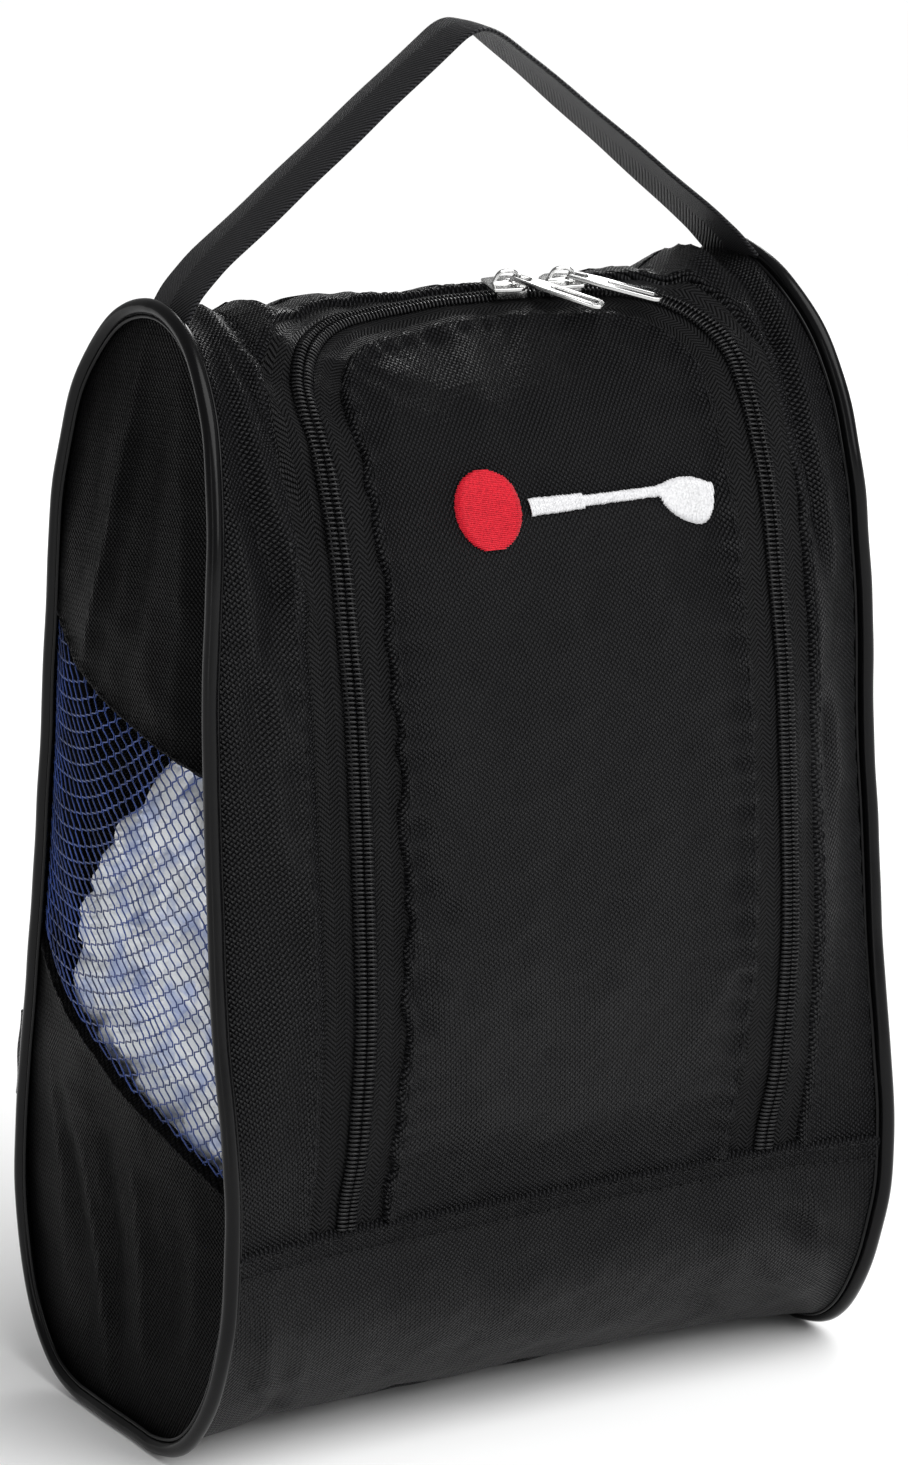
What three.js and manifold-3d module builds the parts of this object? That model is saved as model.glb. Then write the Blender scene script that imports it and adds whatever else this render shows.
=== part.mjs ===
// A soft shoe bag for golf shoes: sewn fabric panels between two piped gussets, a U-shaped zip with
// two sliders round the front flap, a mesh window in each side and a webbing handle.
// Millimetres. +Z is up, the front is at -Y, the bag stands on z = 0.
import * as THREE from "three";
import { mergeVertices } from "three/addons/utils/BufferGeometryUtils.js";
import Module from "manifold-3d";

const wasm = await Module();
wasm.setup();

// ---- Driving dimensions -----------------------------------------------------------------------

const PIPING_RADIUS = 2.4;
const PIPING_SIDES = 8;
const PIPING_STEPS = 96;

// Side view of the piping's centre line as [y, z], from the top down the front and up the back.
const OUTLINE = [
  [-3, 345],
  [-24, 338.5],
  [-43, 320],
  [-53.5, 290],
  [-56, 250],
  [-57.5, 200],
  [-63, 145],
  [-70, 90],
  [-67.5, 52],
  [-54, 23],
  [-38, 7.5],
  [-20, PIPING_RADIUS],
  [4, PIPING_RADIUS],
  [28, PIPING_RADIUS],
  [46, 8],
  [60, 25],
  [67.5, 60],
  [65, 100],
  [55.5, 150],
  [49, 200],
  [45.5, 250],
  [43, 290],
  [35.5, 320],
  [19, 339],
];
const OUTLINE_SAMPLES = 1440;
const DEPTH_CENTRE = -3.625; // y of the middle of the bag's depth in the outline's own numbers

// Half the distance between the two pipings: wide at the base, drawn in towards the top.
const TOP = 345;
const HALF_WIDTH = 115;
const TAPER = 4;
const NARROW_FROM = 230;
const NARROWING = 10.5;

// How far the stuffing and the drape push the middle of each wall out of the outline.
// The front is tucked in at the band's seam and stands out at mid height: [height, distance].
const FRONT_BULGE = [
  [0, 0],
  [40, 2],
  [78, -6],
  [107, 6],
  [140, 18],
  [185, 22.5],
  [225, 21],
  [260, 15],
  [300, 7],
  [332, 0],
  [338, 0],
  [345, 0],
];
const BACK_BULGE = 5;
const TOP_SAG = 4;
const BASE_BULGE = 7;
const GUSSET_BULGE = 10;

const FABRIC = 1.4;
const TAPE = 0.8;
const FABRIC_DEPTH = 1; // the fabric's outer face lies this far inside the piping's centre line
const TAPE_DEPTH = 1.4;
const EDGE_GAP = 2.8; // from the piping's centre line to the fabric's edge
const SEAM_GAP = 0.3;

// The zip is an arch: a flat top arc, two corner arcs and two straight legs.
const ZIP_TOP = 8; // distance from the ridge down the front to the middle of the top arc
const TOP_ARC = 145;
const CORNER_ARC = 40;
const ZIP_HALF = 73;
const TAPE_WIDTH = 11.7;
const COIL_HALF = 3.65;
const SLIT_HALF = 0.6;
const COIL_HEIGHT = 2.4;
const BAND_HEIGHT = 76; // height of the seam between the flap and the lower band
const BACK_SEAM = -15; // the seam behind the ridge between the front surround and the back

// Sliders and pulls, in the zip's own frame: x along the chain, y to the bag, z out of the tape.
const SLIDER_ANGLES = { left: 4.4, right: 10.8 }; // degrees round the top arc
const PULL_YAWS = { left: -44, right: -28 }; // degrees from the chain, towards the flap
const PULL_DROOP = 7;
const SLIDER_LENGTH = 13;
const NOSE_HALF = 5.6;
const TAIL_HALF = 4.8;
const PLATE = 1.2;
const PLATE_CLEARANCE = 0.6;
const BAIL_BAR = 1;
const BAIL_SPAN = 8.4; // between the centres of the bail's legs
const BAIL_RISE = 4.2;
const PULL_LENGTH = 29;
const PULL_WIDTH = 6;
const PULL_THICKNESS = 1.4;
const EYE_HALF = 2.2;
const EYE_LENGTH = 6.4;
const EYE_BAR = 0.6;

// The handle is a webbing arch whose width lies front to back.
const WEBBING = 1.6;
const WEBBING_WIDTH = 24;
const HANDLE_PIVOT = 357;
const PIVOT_GAP = 1.1;
const HANDLE_HALF_SPAN = 90;
const HANDLE_APEX = 421;
const HANDLE_Y = -3;
const SIDE_TAB_HEIGHTS = [86, 113];
const SIDE_TAB_REACH = 7;

const black = { color: 0x141416, roughness: 0.85, metalness: 0 };
const MATERIALS = {
  oxford: { color: 0x151517, roughness: 0.8, metalness: 0 },
  mesh: { color: 0x24345f, roughness: 0.6, metalness: 0 },
  piping: { color: 0x0b0b0c, roughness: 0.25, metalness: 0 },
  tape: black,
  coil: { color: 0x0d0d0e, roughness: 0.35, metalness: 0 },
  metal: { color: 0xc9ccd0, roughness: 0.2, metalness: 1 },
  webbing: { color: 0x1b1c1f, roughness: 0.8, metalness: 0 },
  binding: black,
  whiteThread: { color: 0xf2f2f0, roughness: 0.5, metalness: 0 },
  redThread: { color: 0xc8202c, roughness: 0.5, metalness: 0 },
  tissue: { color: 0xe8ecf2, roughness: 0.7, metalness: 0 },
};

const group = new THREE.Group();
group.position.y = -DEPTH_CENTRE;

function add(name, geometry, material) {
  const mesh = new THREE.Mesh(geometry, new THREE.MeshStandardMaterial(MATERIALS[material]));
  mesh.name = name;
  group.add(mesh);
  return mesh;
}

// ---- Closed meshes ----------------------------------------------------------------------------

// Six times the volume, positive when the faces point outwards.
function signedVolume(points, faces) {
  const cross = new THREE.Vector3();
  return faces.reduce(
    (sum, [a, b, c]) => sum + points[a].dot(cross.crossVectors(points[b], points[c])),
    0,
  );
}

function closedMesh(points, faces) {
  const outward = signedVolume(points, faces) > 0;
  const index = faces.flatMap(([a, b, c]) => (outward ? [a, b, c] : [a, c, b]));
  const geometry = new THREE.BufferGeometry().setFromPoints(points);
  geometry.setIndex(index);
  return geometry;
}

// A sheet with thickness: two grids of the same size, joined round their rim.
function shell(outer, inner) {
  const rows = outer.length;
  const cols = outer[0].length;
  const points = [...outer.flat(), ...inner.flat()];
  const at = (r, c, side) => side * rows * cols + r * cols + c;
  const faces = [];
  const quad = (a, b, c, d) => faces.push([a, b, c], [a, c, d]);
  for (let r = 0; r + 1 < rows; r++) {
    for (let c = 0; c + 1 < cols; c++) {
      quad(at(r, c, 0), at(r, c + 1, 0), at(r + 1, c + 1, 0), at(r + 1, c, 0));
      quad(at(r, c, 1), at(r + 1, c, 1), at(r + 1, c + 1, 1), at(r, c + 1, 1));
    }
    quad(at(r, 0, 0), at(r + 1, 0, 0), at(r + 1, 0, 1), at(r, 0, 1));
    const last = cols - 1;
    quad(at(r, last, 0), at(r, last, 1), at(r + 1, last, 1), at(r + 1, last, 0));
  }
  for (let c = 0; c + 1 < cols; c++) {
    const end = rows - 1;
    quad(at(0, c, 0), at(0, c, 1), at(0, c + 1, 1), at(0, c + 1, 0));
    quad(at(end, c, 0), at(end, c + 1, 0), at(end, c + 1, 1), at(end, c, 1));
  }
  return closedMesh(points, faces);
}

// A closed hoop: one ring of section points at each step round a closed path.
function hoop(rings) {
  const sides = rings[0].length;
  const faces = [];
  rings.forEach((_, r) => {
    const next = (r + 1) % rings.length;
    for (let k = 0; k < sides; k++) {
      const a = r * sides + k;
      const b = r * sides + ((k + 1) % sides);
      const c = next * sides + ((k + 1) % sides);
      const d = next * sides + k;
      faces.push([a, b, c], [a, c, d]);
    }
  });
  return closedMesh(rings.flat(), faces);
}

function toManifold(geometry) {
  const bare = new THREE.BufferGeometry();
  bare.setAttribute("position", geometry.getAttribute("position"));
  bare.setIndex(geometry.index);
  const merged = mergeVertices(bare, 1e-4);
  return new wasm.Manifold(
    new wasm.Mesh({
      numProp: 3,
      vertProperties: merged.attributes.position.array,
      triVerts: new Uint32Array(merged.index.array),
    }),
  );
}

function fromManifold(solid) {
  const mesh = solid.getMesh();
  const geometry = new THREE.BufferGeometry();
  geometry.setAttribute("position", new THREE.BufferAttribute(mesh.vertProperties, 3));
  geometry.setIndex(new THREE.BufferAttribute(mesh.triVerts, 1));
  return geometry;
}

function joined(geometries) {
  return fromManifold(geometries.map(toManifold).reduce((a, b) => a.add(b)));
}

function box([x0, x1], [y0, y1], [z0, z1]) {
  const geometry = new THREE.BoxGeometry(x1 - x0, y1 - y0, z1 - z0);
  return geometry.translate((x0 + x1) / 2, (y0 + y1) / 2, (z0 + z1) / 2);
}

// A flat outline in x and y with round holes or slots, between two heights.
function plate(outline, holes, z0, z1, curveSegments = 8) {
  outline.holes = holes;
  const settings = { depth: z1 - z0, bevelEnabled: false, curveSegments };
  return new THREE.ExtrudeGeometry(outline, settings).translate(0, 0, z0);
}

const lerp = THREE.MathUtils.lerp;
const steps = (count, make) => Array.from({ length: count + 1 }, (_, i) => make(i / count, i));

// ---- The bag's outline and walls --------------------------------------------------------------

const outlineCurve = new THREE.CatmullRomCurve3(
  OUTLINE.map(([y, z]) => new THREE.Vector3(0, y, z)),
  true,
  "centripetal",
);
const outline = outlineCurve
  .getPoints(OUTLINE_SAMPLES)
  .map((p) => new THREE.Vector2(p.y, Math.max(p.z, PIPING_RADIUS)));
const distances = [0];
for (let i = 1; i < outline.length; i++) {
  distances.push(distances[i - 1] + outline[i].distanceTo(outline[i - 1]));
}
const GIRTH = distances.at(-1);

// The outline at a distance s from the ridge, counted down the front: its point and outward normal.
function outlineAt(s) {
  const along = ((s % GIRTH) + GIRTH) % GIRTH;
  let low = 0;
  let high = OUTLINE_SAMPLES;
  while (high - low > 1) {
    const middle = (low + high) >> 1;
    if (distances[middle] <= along) low = middle;
    else high = middle;
  }
  const part = (along - distances[low]) / (distances[high] - distances[low]);
  const point = outline[low].clone().lerp(outline[high], part);
  const before = outline[(low - 3 + OUTLINE_SAMPLES) % OUTLINE_SAMPLES];
  const after = outline[(high + 3) % OUTLINE_SAMPLES];
  const tangent = after.clone().sub(before).normalize();
  return { y: point.x, z: point.y, ny: tangent.y, nz: -tangent.x, tangent };
}

// The distance s at which one side of the outline has a given height.
function atHeight(z, side) {
  const range = side === "front" ? [0, GIRTH / 2] : [-GIRTH / 2, 0];
  let [low, high] = range;
  for (let i = 0; i < 40; i++) {
    const middle = (low + high) / 2;
    const above = outlineAt(middle).z > z;
    if (above === (side === "front")) low = middle;
    else high = middle;
  }
  return (low + high) / 2;
}

function halfWidth(z) {
  const rise = Math.max(0, z - NARROW_FROM) / (TOP - NARROW_FROM);
  return HALF_WIDTH - (TAPER * z) / TOP - NARROWING * rise * rise;
}

// A smooth curve through the front bulge's heights and distances.
function frontBulge(z) {
  const last = FRONT_BULGE.length - 1;
  const after = FRONT_BULGE.findIndex(([height]) => height >= z);
  const i = Math.max((after < 0 ? last : after) - 1, 0);
  const at = (k) => FRONT_BULGE[Math.min(Math.max(k, 0), last)];
  const slope = (k) => (at(k + 1)[1] - at(k - 1)[1]) / (at(k + 1)[0] - at(k - 1)[0]);
  const span = at(i + 1)[0] - at(i)[0];
  const t = Math.min(Math.max((z - at(i)[0]) / span, 0), 1);
  const ease = t * t * (3 - 2 * t);
  const bend = (slope(i) * (1 - t) - slope(i + 1) * t) * t * (1 - t) * span;
  return lerp(at(i)[1], at(i + 1)[1], ease) + bend;
}

// How far the wall stands out of the outline, at a part of the way from its middle to its edge.
function bulge(z, ny, nz, across) {
  const front = frontBulge(z) * Math.max(0, -ny) ** 2 * (1 - across ** 4);
  const back = BACK_BULGE * Math.max(0, ny) ** 2;
  const top = -TOP_SAG * Math.max(0, nz) ** 2;
  const base = BASE_BULGE * Math.max(0, -nz) ** 2;
  return front + (back + top + base) * (1 - across ** 2);
}

// The outer face of the wall that wraps front, base, back and top.
function wallFace(x, s) {
  const { y, z, ny, nz } = outlineAt(s);
  const across = Math.min(1, Math.abs(x) / (halfWidth(z) - EDGE_GAP));
  const out = bulge(z, ny, nz, across) - FABRIC_DEPTH;
  return new THREE.Vector3(x, y + ny * out, Math.max(0, z + nz * out));
}

// A point of the wall at a depth inside the piping's centre line.
function wrap(x, s, depth) {
  const down = wallFace(x, s + 1).sub(wallFace(x, s - 1));
  const sideways = wallFace(x + 1, s).sub(wallFace(x - 1, s));
  const outward = down.cross(sideways).normalize();
  return wallFace(x, s).addScaledVector(outward, FABRIC_DEPTH - depth);
}

const edge = (s) => halfWidth(outlineAt(s).z) - EDGE_GAP;

// A piece of the wall from a grid of [x, s] points.
function wallPiece(grid, depth, thickness) {
  const face = (d) => grid.map((row) => row.map(([x, s]) => wrap(x, s, d)));
  return shell(face(depth), face(depth + thickness));
}

function bandOfWall(s0, s1, rows, cols) {
  return steps(rows, (v) => {
    const s = lerp(s0, s1, v);
    return steps(cols, (u) => [lerp(-edge(s), edge(s), u), s]);
  });
}

const bandSeam = atHeight(BAND_HEIGHT, "front");
const baseFront = atHeight(PIPING_RADIUS + 0.4, "front");
const baseBack = atHeight(PIPING_RADIUS + 0.4, "back");

add(
  "lower_front_band",
  wallPiece(bandOfWall(bandSeam + SEAM_GAP, baseFront - SEAM_GAP, 8, 8), FABRIC_DEPTH, FABRIC),
  "oxford",
);
add(
  "base_panel",
  wallPiece(bandOfWall(baseFront, baseBack + GIRTH, 4, 8), FABRIC_DEPTH, FABRIC),
  "oxford",
);
add(
  "back_panel",
  wallPiece(bandOfWall(baseBack + SEAM_GAP, BACK_SEAM - SEAM_GAP, 24, 8), FABRIC_DEPTH, FABRIC),
  "oxford",
);

// ---- The zip's arch ---------------------------------------------------------------------------

const cornerTurn = Math.asin((ZIP_HALF - CORNER_ARC) / (TOP_ARC - CORNER_ARC));
const cornerS = ZIP_TOP + TOP_ARC - (TOP_ARC - CORNER_ARC) * Math.cos(cornerTurn);

// A point of the right half of the arch, turned by an angle from its top, offset outwards.
function archPoint(turn, offset) {
  const onTop = turn < cornerTurn;
  const radius = (onTop ? TOP_ARC : CORNER_ARC) + offset;
  const centreX = onTop ? 0 : ZIP_HALF - CORNER_ARC;
  const centreS = onTop ? ZIP_TOP + TOP_ARC : cornerS;
  return [centreX + radius * Math.sin(turn), centreS - radius * Math.cos(turn)];
}

const TOP_TURNS = steps(5, (t) => t * cornerTurn);
const CORNER_TURNS = steps(12, (t) => lerp(cornerTurn, Math.PI / 2, t)).slice(1);
const ARCH_TURNS = [...TOP_TURNS, ...CORNER_TURNS];
const LEG_STEPS = 16;

function mirrored(right) {
  const left = right.slice(1).reverse();
  return [...left.map(([x, s]) => [-x, s]), ...right];
}

// The whole arch at an offset, from the foot of the left leg to the foot of the right one.
function arch(offset) {
  const turned = ARCH_TURNS.map((turn) => archPoint(turn, offset));
  const leg = steps(LEG_STEPS, (t) => [ZIP_HALF + offset, lerp(cornerS, bandSeam, t)]).slice(1);
  return mirrored([...turned, ...leg]);
}

// The edge of the surround that follows the gusset seams and the seam behind the ridge.
function surroundRim() {
  const corner = CORNER_TURNS[4];
  const turned = ARCH_TURNS.map((turn) => {
    if (turn <= corner) return [(edge(BACK_SEAM) * turn) / corner, BACK_SEAM];
    const s = lerp(BACK_SEAM, cornerS, (turn - corner) / (Math.PI / 2 - corner));
    return [edge(s), s];
  });
  const leg = steps(LEG_STEPS, (t) => {
    const s = lerp(cornerS, bandSeam, t);
    return [edge(s), s];
  }).slice(1);
  return mirrored([...turned, ...leg]);
}

function between(a, b, cols) {
  return a.map(([xa, sa], i) => {
    const [xb, sb] = b[i];
    return steps(cols, (u) => [lerp(xa, xb, u), lerp(sa, sb, u)]);
  });
}

const tapeEdge = TAPE_WIDTH + SEAM_GAP;
add(
  "front_surround",
  wallPiece(between(arch(tapeEdge), surroundRim(), 5), FABRIC_DEPTH, FABRIC),
  "oxford",
);
add(
  "zip_tape_outer",
  wallPiece(between(arch(SLIT_HALF), arch(TAPE_WIDTH), 2), TAPE_DEPTH, TAPE),
  "tape",
);
add(
  "zip_tape_inner",
  wallPiece(between(arch(-SLIT_HALF), arch(-TAPE_WIDTH), 2), TAPE_DEPTH, TAPE),
  "tape",
);
const coilDepth = TAPE_DEPTH - SEAM_GAP - COIL_HEIGHT;
add(
  "zip_coil_outer",
  wallPiece(between(arch(SLIT_HALF), arch(COIL_HALF), 1), coilDepth, COIL_HEIGHT),
  "coil",
);
add(
  "zip_coil_inner",
  wallPiece(between(arch(-SLIT_HALF), arch(-COIL_HALF), 1), coilDepth, COIL_HEIGHT),
  "coil",
);

// ---- The flap and its emblem ------------------------------------------------------------------

function flapGrid() {
  const capEnd = cornerS + 12;
  const half = ZIP_HALF - tapeEdge;
  const rim = mirrored(ARCH_TURNS.map((turn) => archPoint(turn, -tapeEdge)));
  const line = rim.map(([x, _], i) => [lerp(-half, half, i / (rim.length - 1)), capEnd]);
  const cap = steps(3, (v) =>
    rim.map(([x, s], i) => [lerp(x, line[i][0], v), lerp(s, capEnd, v)]),
  );
  const body = steps(14, (v) => line.map(([x, _]) => [x, lerp(capEnd, bandSeam - SEAM_GAP, v)]));
  return [...cap, ...body.slice(1)];
}
add("front_flap", wallPiece(flapGrid(), FABRIC_DEPTH, FABRIC), "oxford");

const EMBLEM_THICKNESS = 0.9;
const EMBLEM_DEPTH = FABRIC_DEPTH - SEAM_GAP - EMBLEM_THICKNESS;
const EMBLEM_HEIGHT = 287;
const BALL_X = -24;
const BALL_RADIUS = 11;

function emblemBall() {
  const centre = atHeight(EMBLEM_HEIGHT, "front");
  const grid = steps(6, (v) => {
    const s = lerp(-1, 1, v) * BALL_RADIUS * 0.96;
    const half = Math.sqrt(BALL_RADIUS ** 2 - s ** 2);
    return steps(6, (u) => [BALL_X + lerp(-half, half, u), centre + s]);
  });
  return wallPiece(grid, EMBLEM_DEPTH, EMBLEM_THICKNESS);
}

// A golf club laid beside the ball: [distance along it, half its width], grip to head.
const CLUB = [
  [0, 1.6],
  [16, 1.6],
  [16.5, 1],
  [42, 1],
  [46, 2.4],
  [50, 5.6],
  [55, 7],
  [60, 5.2],
  [63, 1.5],
];
function emblemClub() {
  const centre = atHeight(EMBLEM_HEIGHT, "front");
  const grid = CLUB.map(([along, half]) =>
    steps(2, (u) => [-10 + along, centre + 3 + lerp(-half, half, u)]),
  );
  return wallPiece(grid, EMBLEM_DEPTH, EMBLEM_THICKNESS);
}
add("emblem_ball", emblemBall(), "redThread");
add("emblem_club", emblemClub(), "whiteThread");

// ---- Gussets ----------------------------------------------------------------------------------

// The seams that bound the mesh window, as the height on the front and back edge.
const WINDOW_TOP = { front: 215, back: 247 };
const WINDOW_FOOT = { front: 99, back: 136 };

// A gusset point at a distance s on the front edge and t on the back edge, a part u across.
function gussetPoint(side, sFront, sBack, u, depth) {
  const front = outlineAt(sFront);
  const back = outlineAt(sBack);
  const [fy, fz] = [front.y - front.ny * EDGE_GAP, front.z - front.nz * EDGE_GAP];
  const [by, bz] = [back.y - back.ny * EDGE_GAP, back.z - back.nz * EDGE_GAP];
  const y = lerp(fy, by, u);
  const z = lerp(fz, bz, u);
  const upright = Math.sin((Math.PI * Math.min(Math.max(z, 0), TOP)) / TOP);
  const out = GUSSET_BULGE * upright * (1 - Math.abs(2 * u - 1) ** 4);
  return new THREE.Vector3(side * (halfWidth(z) + out - depth), y, z);
}

function gussetPiece(side, [front0, front1], [back0, back1], rows) {
  const face = (depth) =>
    steps(rows, (v) =>
      steps(6, (u) => {
        const s = lerp(front0, front1, v);
        const t = lerp(back0, back1, v);
        return gussetPoint(side, s, t, u, depth);
      }),
    );
  return shell(face(FABRIC_DEPTH), face(FABRIC_DEPTH + FABRIC));
}

const RIDGE_HALF = 9; // the gusset's top row stops this far either side of the ridge
function addGussets(name, side) {
  const topSeam = [atHeight(WINDOW_TOP.front, "front"), atHeight(WINDOW_TOP.back, "back")];
  const footSeam = [atHeight(WINDOW_FOOT.front, "front"), atHeight(WINDOW_FOOT.back, "back")];
  const [gapFront, gapBack] = [SEAM_GAP, -SEAM_GAP];
  add(
    "gusset_upper_" + name,
    gussetPiece(side, [RIDGE_HALF, topSeam[0] - gapFront], [-RIDGE_HALF, topSeam[1] - gapBack], 12),
    "oxford",
  );
  add(
    "gusset_mesh_" + name,
    gussetPiece(side, [topSeam[0], footSeam[0]], [topSeam[1], footSeam[1]], 6),
    "mesh",
  );
  add(
    "gusset_lower_" + name,
    gussetPiece(side, [footSeam[0] + gapFront, baseFront], [footSeam[1] + gapBack, baseBack], 10),
    "oxford",
  );
}

function piping(side) {
  const rings = steps(PIPING_STEPS, (t) => {
    const { y, z, ny, nz } = outlineAt(t * GIRTH);
    return steps(PIPING_SIDES, (k) => {
      const angle = (k + 0.5 / PIPING_SIDES) * 2 * Math.PI;
      const out = PIPING_RADIUS * Math.cos(angle);
      const sideways = PIPING_RADIUS * Math.sin(angle);
      return new THREE.Vector3(side * (halfWidth(z) + sideways), y + ny * out, z + nz * out);
    }).slice(1);
  }).slice(1);
  return hoop(rings);
}

// The tape that covers the raw seam edges inside the bag.
function seamBinding(side) {
  const [near, far] = [EDGE_GAP + SEAM_GAP, 11];
  const shallow = FABRIC_DEPTH + FABRIC + 1.3;
  const deep = shallow + 1;
  const rings = steps(PIPING_STEPS, (t) => {
    const s = t * GIRTH;
    const corners = [
      [near, shallow],
      [far, shallow],
      [far, deep],
      [near, deep],
    ];
    return corners.map(([inward, depth]) => wrap(side * (edge(s) + EDGE_GAP - inward), s, depth));
  }).slice(1);
  return hoop(rings);
}

// Crumpled tissue that fills the side of the bag behind the mesh window.
function tissueWad(side) {
  const ball = new THREE.SphereGeometry(1, 14, 10);
  const position = ball.getAttribute("position");
  for (let i = 0; i < position.count; i++) {
    const [x, y, z] = [position.getX(i), position.getZ(i), position.getY(i)];
    const height = 115 + 108 * z;
    const lean = -0.1 * (height - 115);
    position.setXYZ(i, side * (halfWidth(height) - 19 + 20 * x), -8 + lean + 46 * y, height);
  }
  ball.deleteAttribute("normal");
  ball.deleteAttribute("uv");
  const merged = mergeVertices(ball, 1e-4);
  const points = steps(merged.attributes.position.count - 1, (_, i) =>
    new THREE.Vector3().fromBufferAttribute(merged.attributes.position, i),
  );
  const faces = [];
  const index = merged.index.array;
  for (let i = 0; i < index.length; i += 3) {
    const face = [index[i], index[i + 1], index[i + 2]];
    if (new Set(face).size === 3) faces.push(face);
  }
  return closedMesh(points, faces);
}

for (const [name, side] of [
  ["left", -1],
  ["right", 1],
]) {
  addGussets(name, side);
  add("piping_" + name, piping(side), "piping");
  add("seam_binding_" + name, seamBinding(side), "binding");
  add("tissue_wad_" + name, tissueWad(side), "tissue");
}

// ---- Sliders and pulls ------------------------------------------------------------------------

// The frame of the zip at the middle of the top arc: x along the chain, z out of the tape.
const zipOrigin = wrap(0, ZIP_TOP, TAPE_DEPTH);
const zipDown = wrap(0, ZIP_TOP + 2, TAPE_DEPTH).sub(wrap(0, ZIP_TOP - 2, TAPE_DEPTH)).normalize();
const zipNormal = new THREE.Vector3(1, 0, 0).cross(zipDown).negate();

// The sag shortens distances down the front, so the sliders' circle is measured on the wall itself.
function sliderArc() {
  const chord = wrap(...archPoint(0.8 * cornerTurn, 0), TAPE_DEPTH).sub(zipOrigin);
  const drop = chord.dot(zipDown);
  return (chord.x ** 2 + drop ** 2) / (2 * drop);
}
const SLIDER_ARC = sliderArc();
const arcCentre = zipOrigin.clone().addScaledVector(zipDown, SLIDER_ARC);

// Places a group on the top arc, turned round the arc's centre by an angle.
function onTopArc(degrees) {
  const turned = new THREE.Group();
  const basis = new THREE.Matrix4().makeBasis(
    new THREE.Vector3(1, 0, 0),
    zipDown.clone().negate(),
    zipNormal,
  );
  turned.quaternion.setFromRotationMatrix(basis);
  turned.rotateZ(-THREE.MathUtils.degToRad(degrees));
  const radius = new THREE.Vector3(0, SLIDER_ARC, 0).applyQuaternion(turned.quaternion);
  turned.position.copy(arcCentre).add(radius);
  group.add(turned);
  return turned;
}

const coilTop = SEAM_GAP + COIL_HEIGHT;
const plateFoot = coilTop + PLATE_CLEARANCE;
const plateTop = plateFoot + PLATE;

// Seen from above, the slider is wide at its nose and narrow at its tail; nose is 1 or -1 along x.
function sliderPlan(nose, backHalf) {
  const half = SLIDER_LENGTH / 2;
  const shape = new THREE.Shape();
  shape.moveTo(-nose * half, -TAIL_HALF);
  shape.lineTo(nose * half * 0.1, -NOSE_HALF);
  shape.lineTo(nose * half * 0.5, -NOSE_HALF);
  shape.lineTo(nose * half, -NOSE_HALF * 0.5);
  shape.lineTo(nose * half, backHalf * 0.5);
  shape.lineTo(nose * half * 0.5, backHalf);
  shape.lineTo(nose * half * 0.1, backHalf);
  shape.lineTo(-nose * half, backHalf * 0.86);
  return shape;
}

function bail() {
  const outer = new THREE.Shape();
  const half = BAIL_SPAN / 2;
  const bar = BAIL_BAR / 2;
  const corner = 2.2;
  const foot = plateTop - 0.2;
  const top = plateTop + BAIL_RISE;
  outer.moveTo(-half - bar, foot);
  outer.lineTo(-half - bar, top - corner);
  outer.quadraticCurveTo(-half - bar, top, -half - bar + corner, top);
  outer.lineTo(half + bar - corner, top);
  outer.quadraticCurveTo(half + bar, top, half + bar, top - corner);
  outer.lineTo(half + bar, foot);
  outer.lineTo(half - bar, foot);
  outer.lineTo(half - bar, top - corner);
  outer.quadraticCurveTo(half - bar, top - BAIL_BAR, half - corner, top - BAIL_BAR);
  outer.lineTo(-half + corner, top - BAIL_BAR);
  outer.quadraticCurveTo(-half + bar, top - BAIL_BAR, -half + bar, top - corner);
  outer.lineTo(-half + bar, foot);
  const geometry = plate(outer, [], -BAIL_BAR / 2, BAIL_BAR / 2, 4);
  return geometry.rotateX(Math.PI / 2);
}

// One die-cast piece: top plate, flange on the flap's side, post, half a bottom plate and bail.
function sliderBody(nose) {
  const bottomTop = -TAPE - 1.1;
  const postHalf = 0.2;
  const post = nose > 0 ? [1.5, 5] : [-5, -1.5];
  const flange = [-SLIDER_LENGTH / 2 + 1.5, SLIDER_LENGTH / 2 - 1.5];
  return joined([
    plate(sliderPlan(nose, NOSE_HALF), [], plateFoot, plateTop),
    plate(sliderPlan(nose, postHalf), [], bottomTop - PLATE, bottomTop),
    box(post, [-postHalf, postHalf], [bottomTop - PLATE / 2, plateFoot + PLATE / 2]),
    box(flange, [-TAIL_HALF, -TAIL_HALF + 0.7], [1, plateFoot + PLATE / 2]),
    bail(),
  ]);
}

function slot(x0, x1, half) {
  const hole = new THREE.Path();
  hole.absarc(x1 - half, 0, half, -Math.PI / 2, Math.PI / 2);
  hole.absarc(x0 + half, 0, half, Math.PI / 2, (3 * Math.PI) / 2);
  return hole;
}

// The pull, along +x from its eye bar's axis: an eye, a flat bar and a slot near its free end.
function pullTab() {
  const half = PULL_WIDTH / 2;
  const outer = new THREE.Shape();
  outer.moveTo(0, -half);
  outer.lineTo(PULL_LENGTH - half, -half);
  outer.absarc(PULL_LENGTH - half, 0, half, -Math.PI / 2, Math.PI / 2);
  outer.lineTo(0, half);
  const eye = new THREE.Path();
  eye.moveTo(EYE_BAR, -EYE_HALF);
  eye.lineTo(EYE_LENGTH, -EYE_HALF);
  eye.lineTo(EYE_LENGTH, EYE_HALF);
  eye.lineTo(EYE_BAR, EYE_HALF);
  const flat = plate(outer, [eye, slot(13, 26.5, 1.5)], -PULL_THICKNESS / 2, PULL_THICKNESS / 2, 6);
  const bar = new THREE.CylinderGeometry(EYE_BAR, EYE_BAR, PULL_WIDTH, 10);
  return joined([flat, bar]);
}

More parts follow.
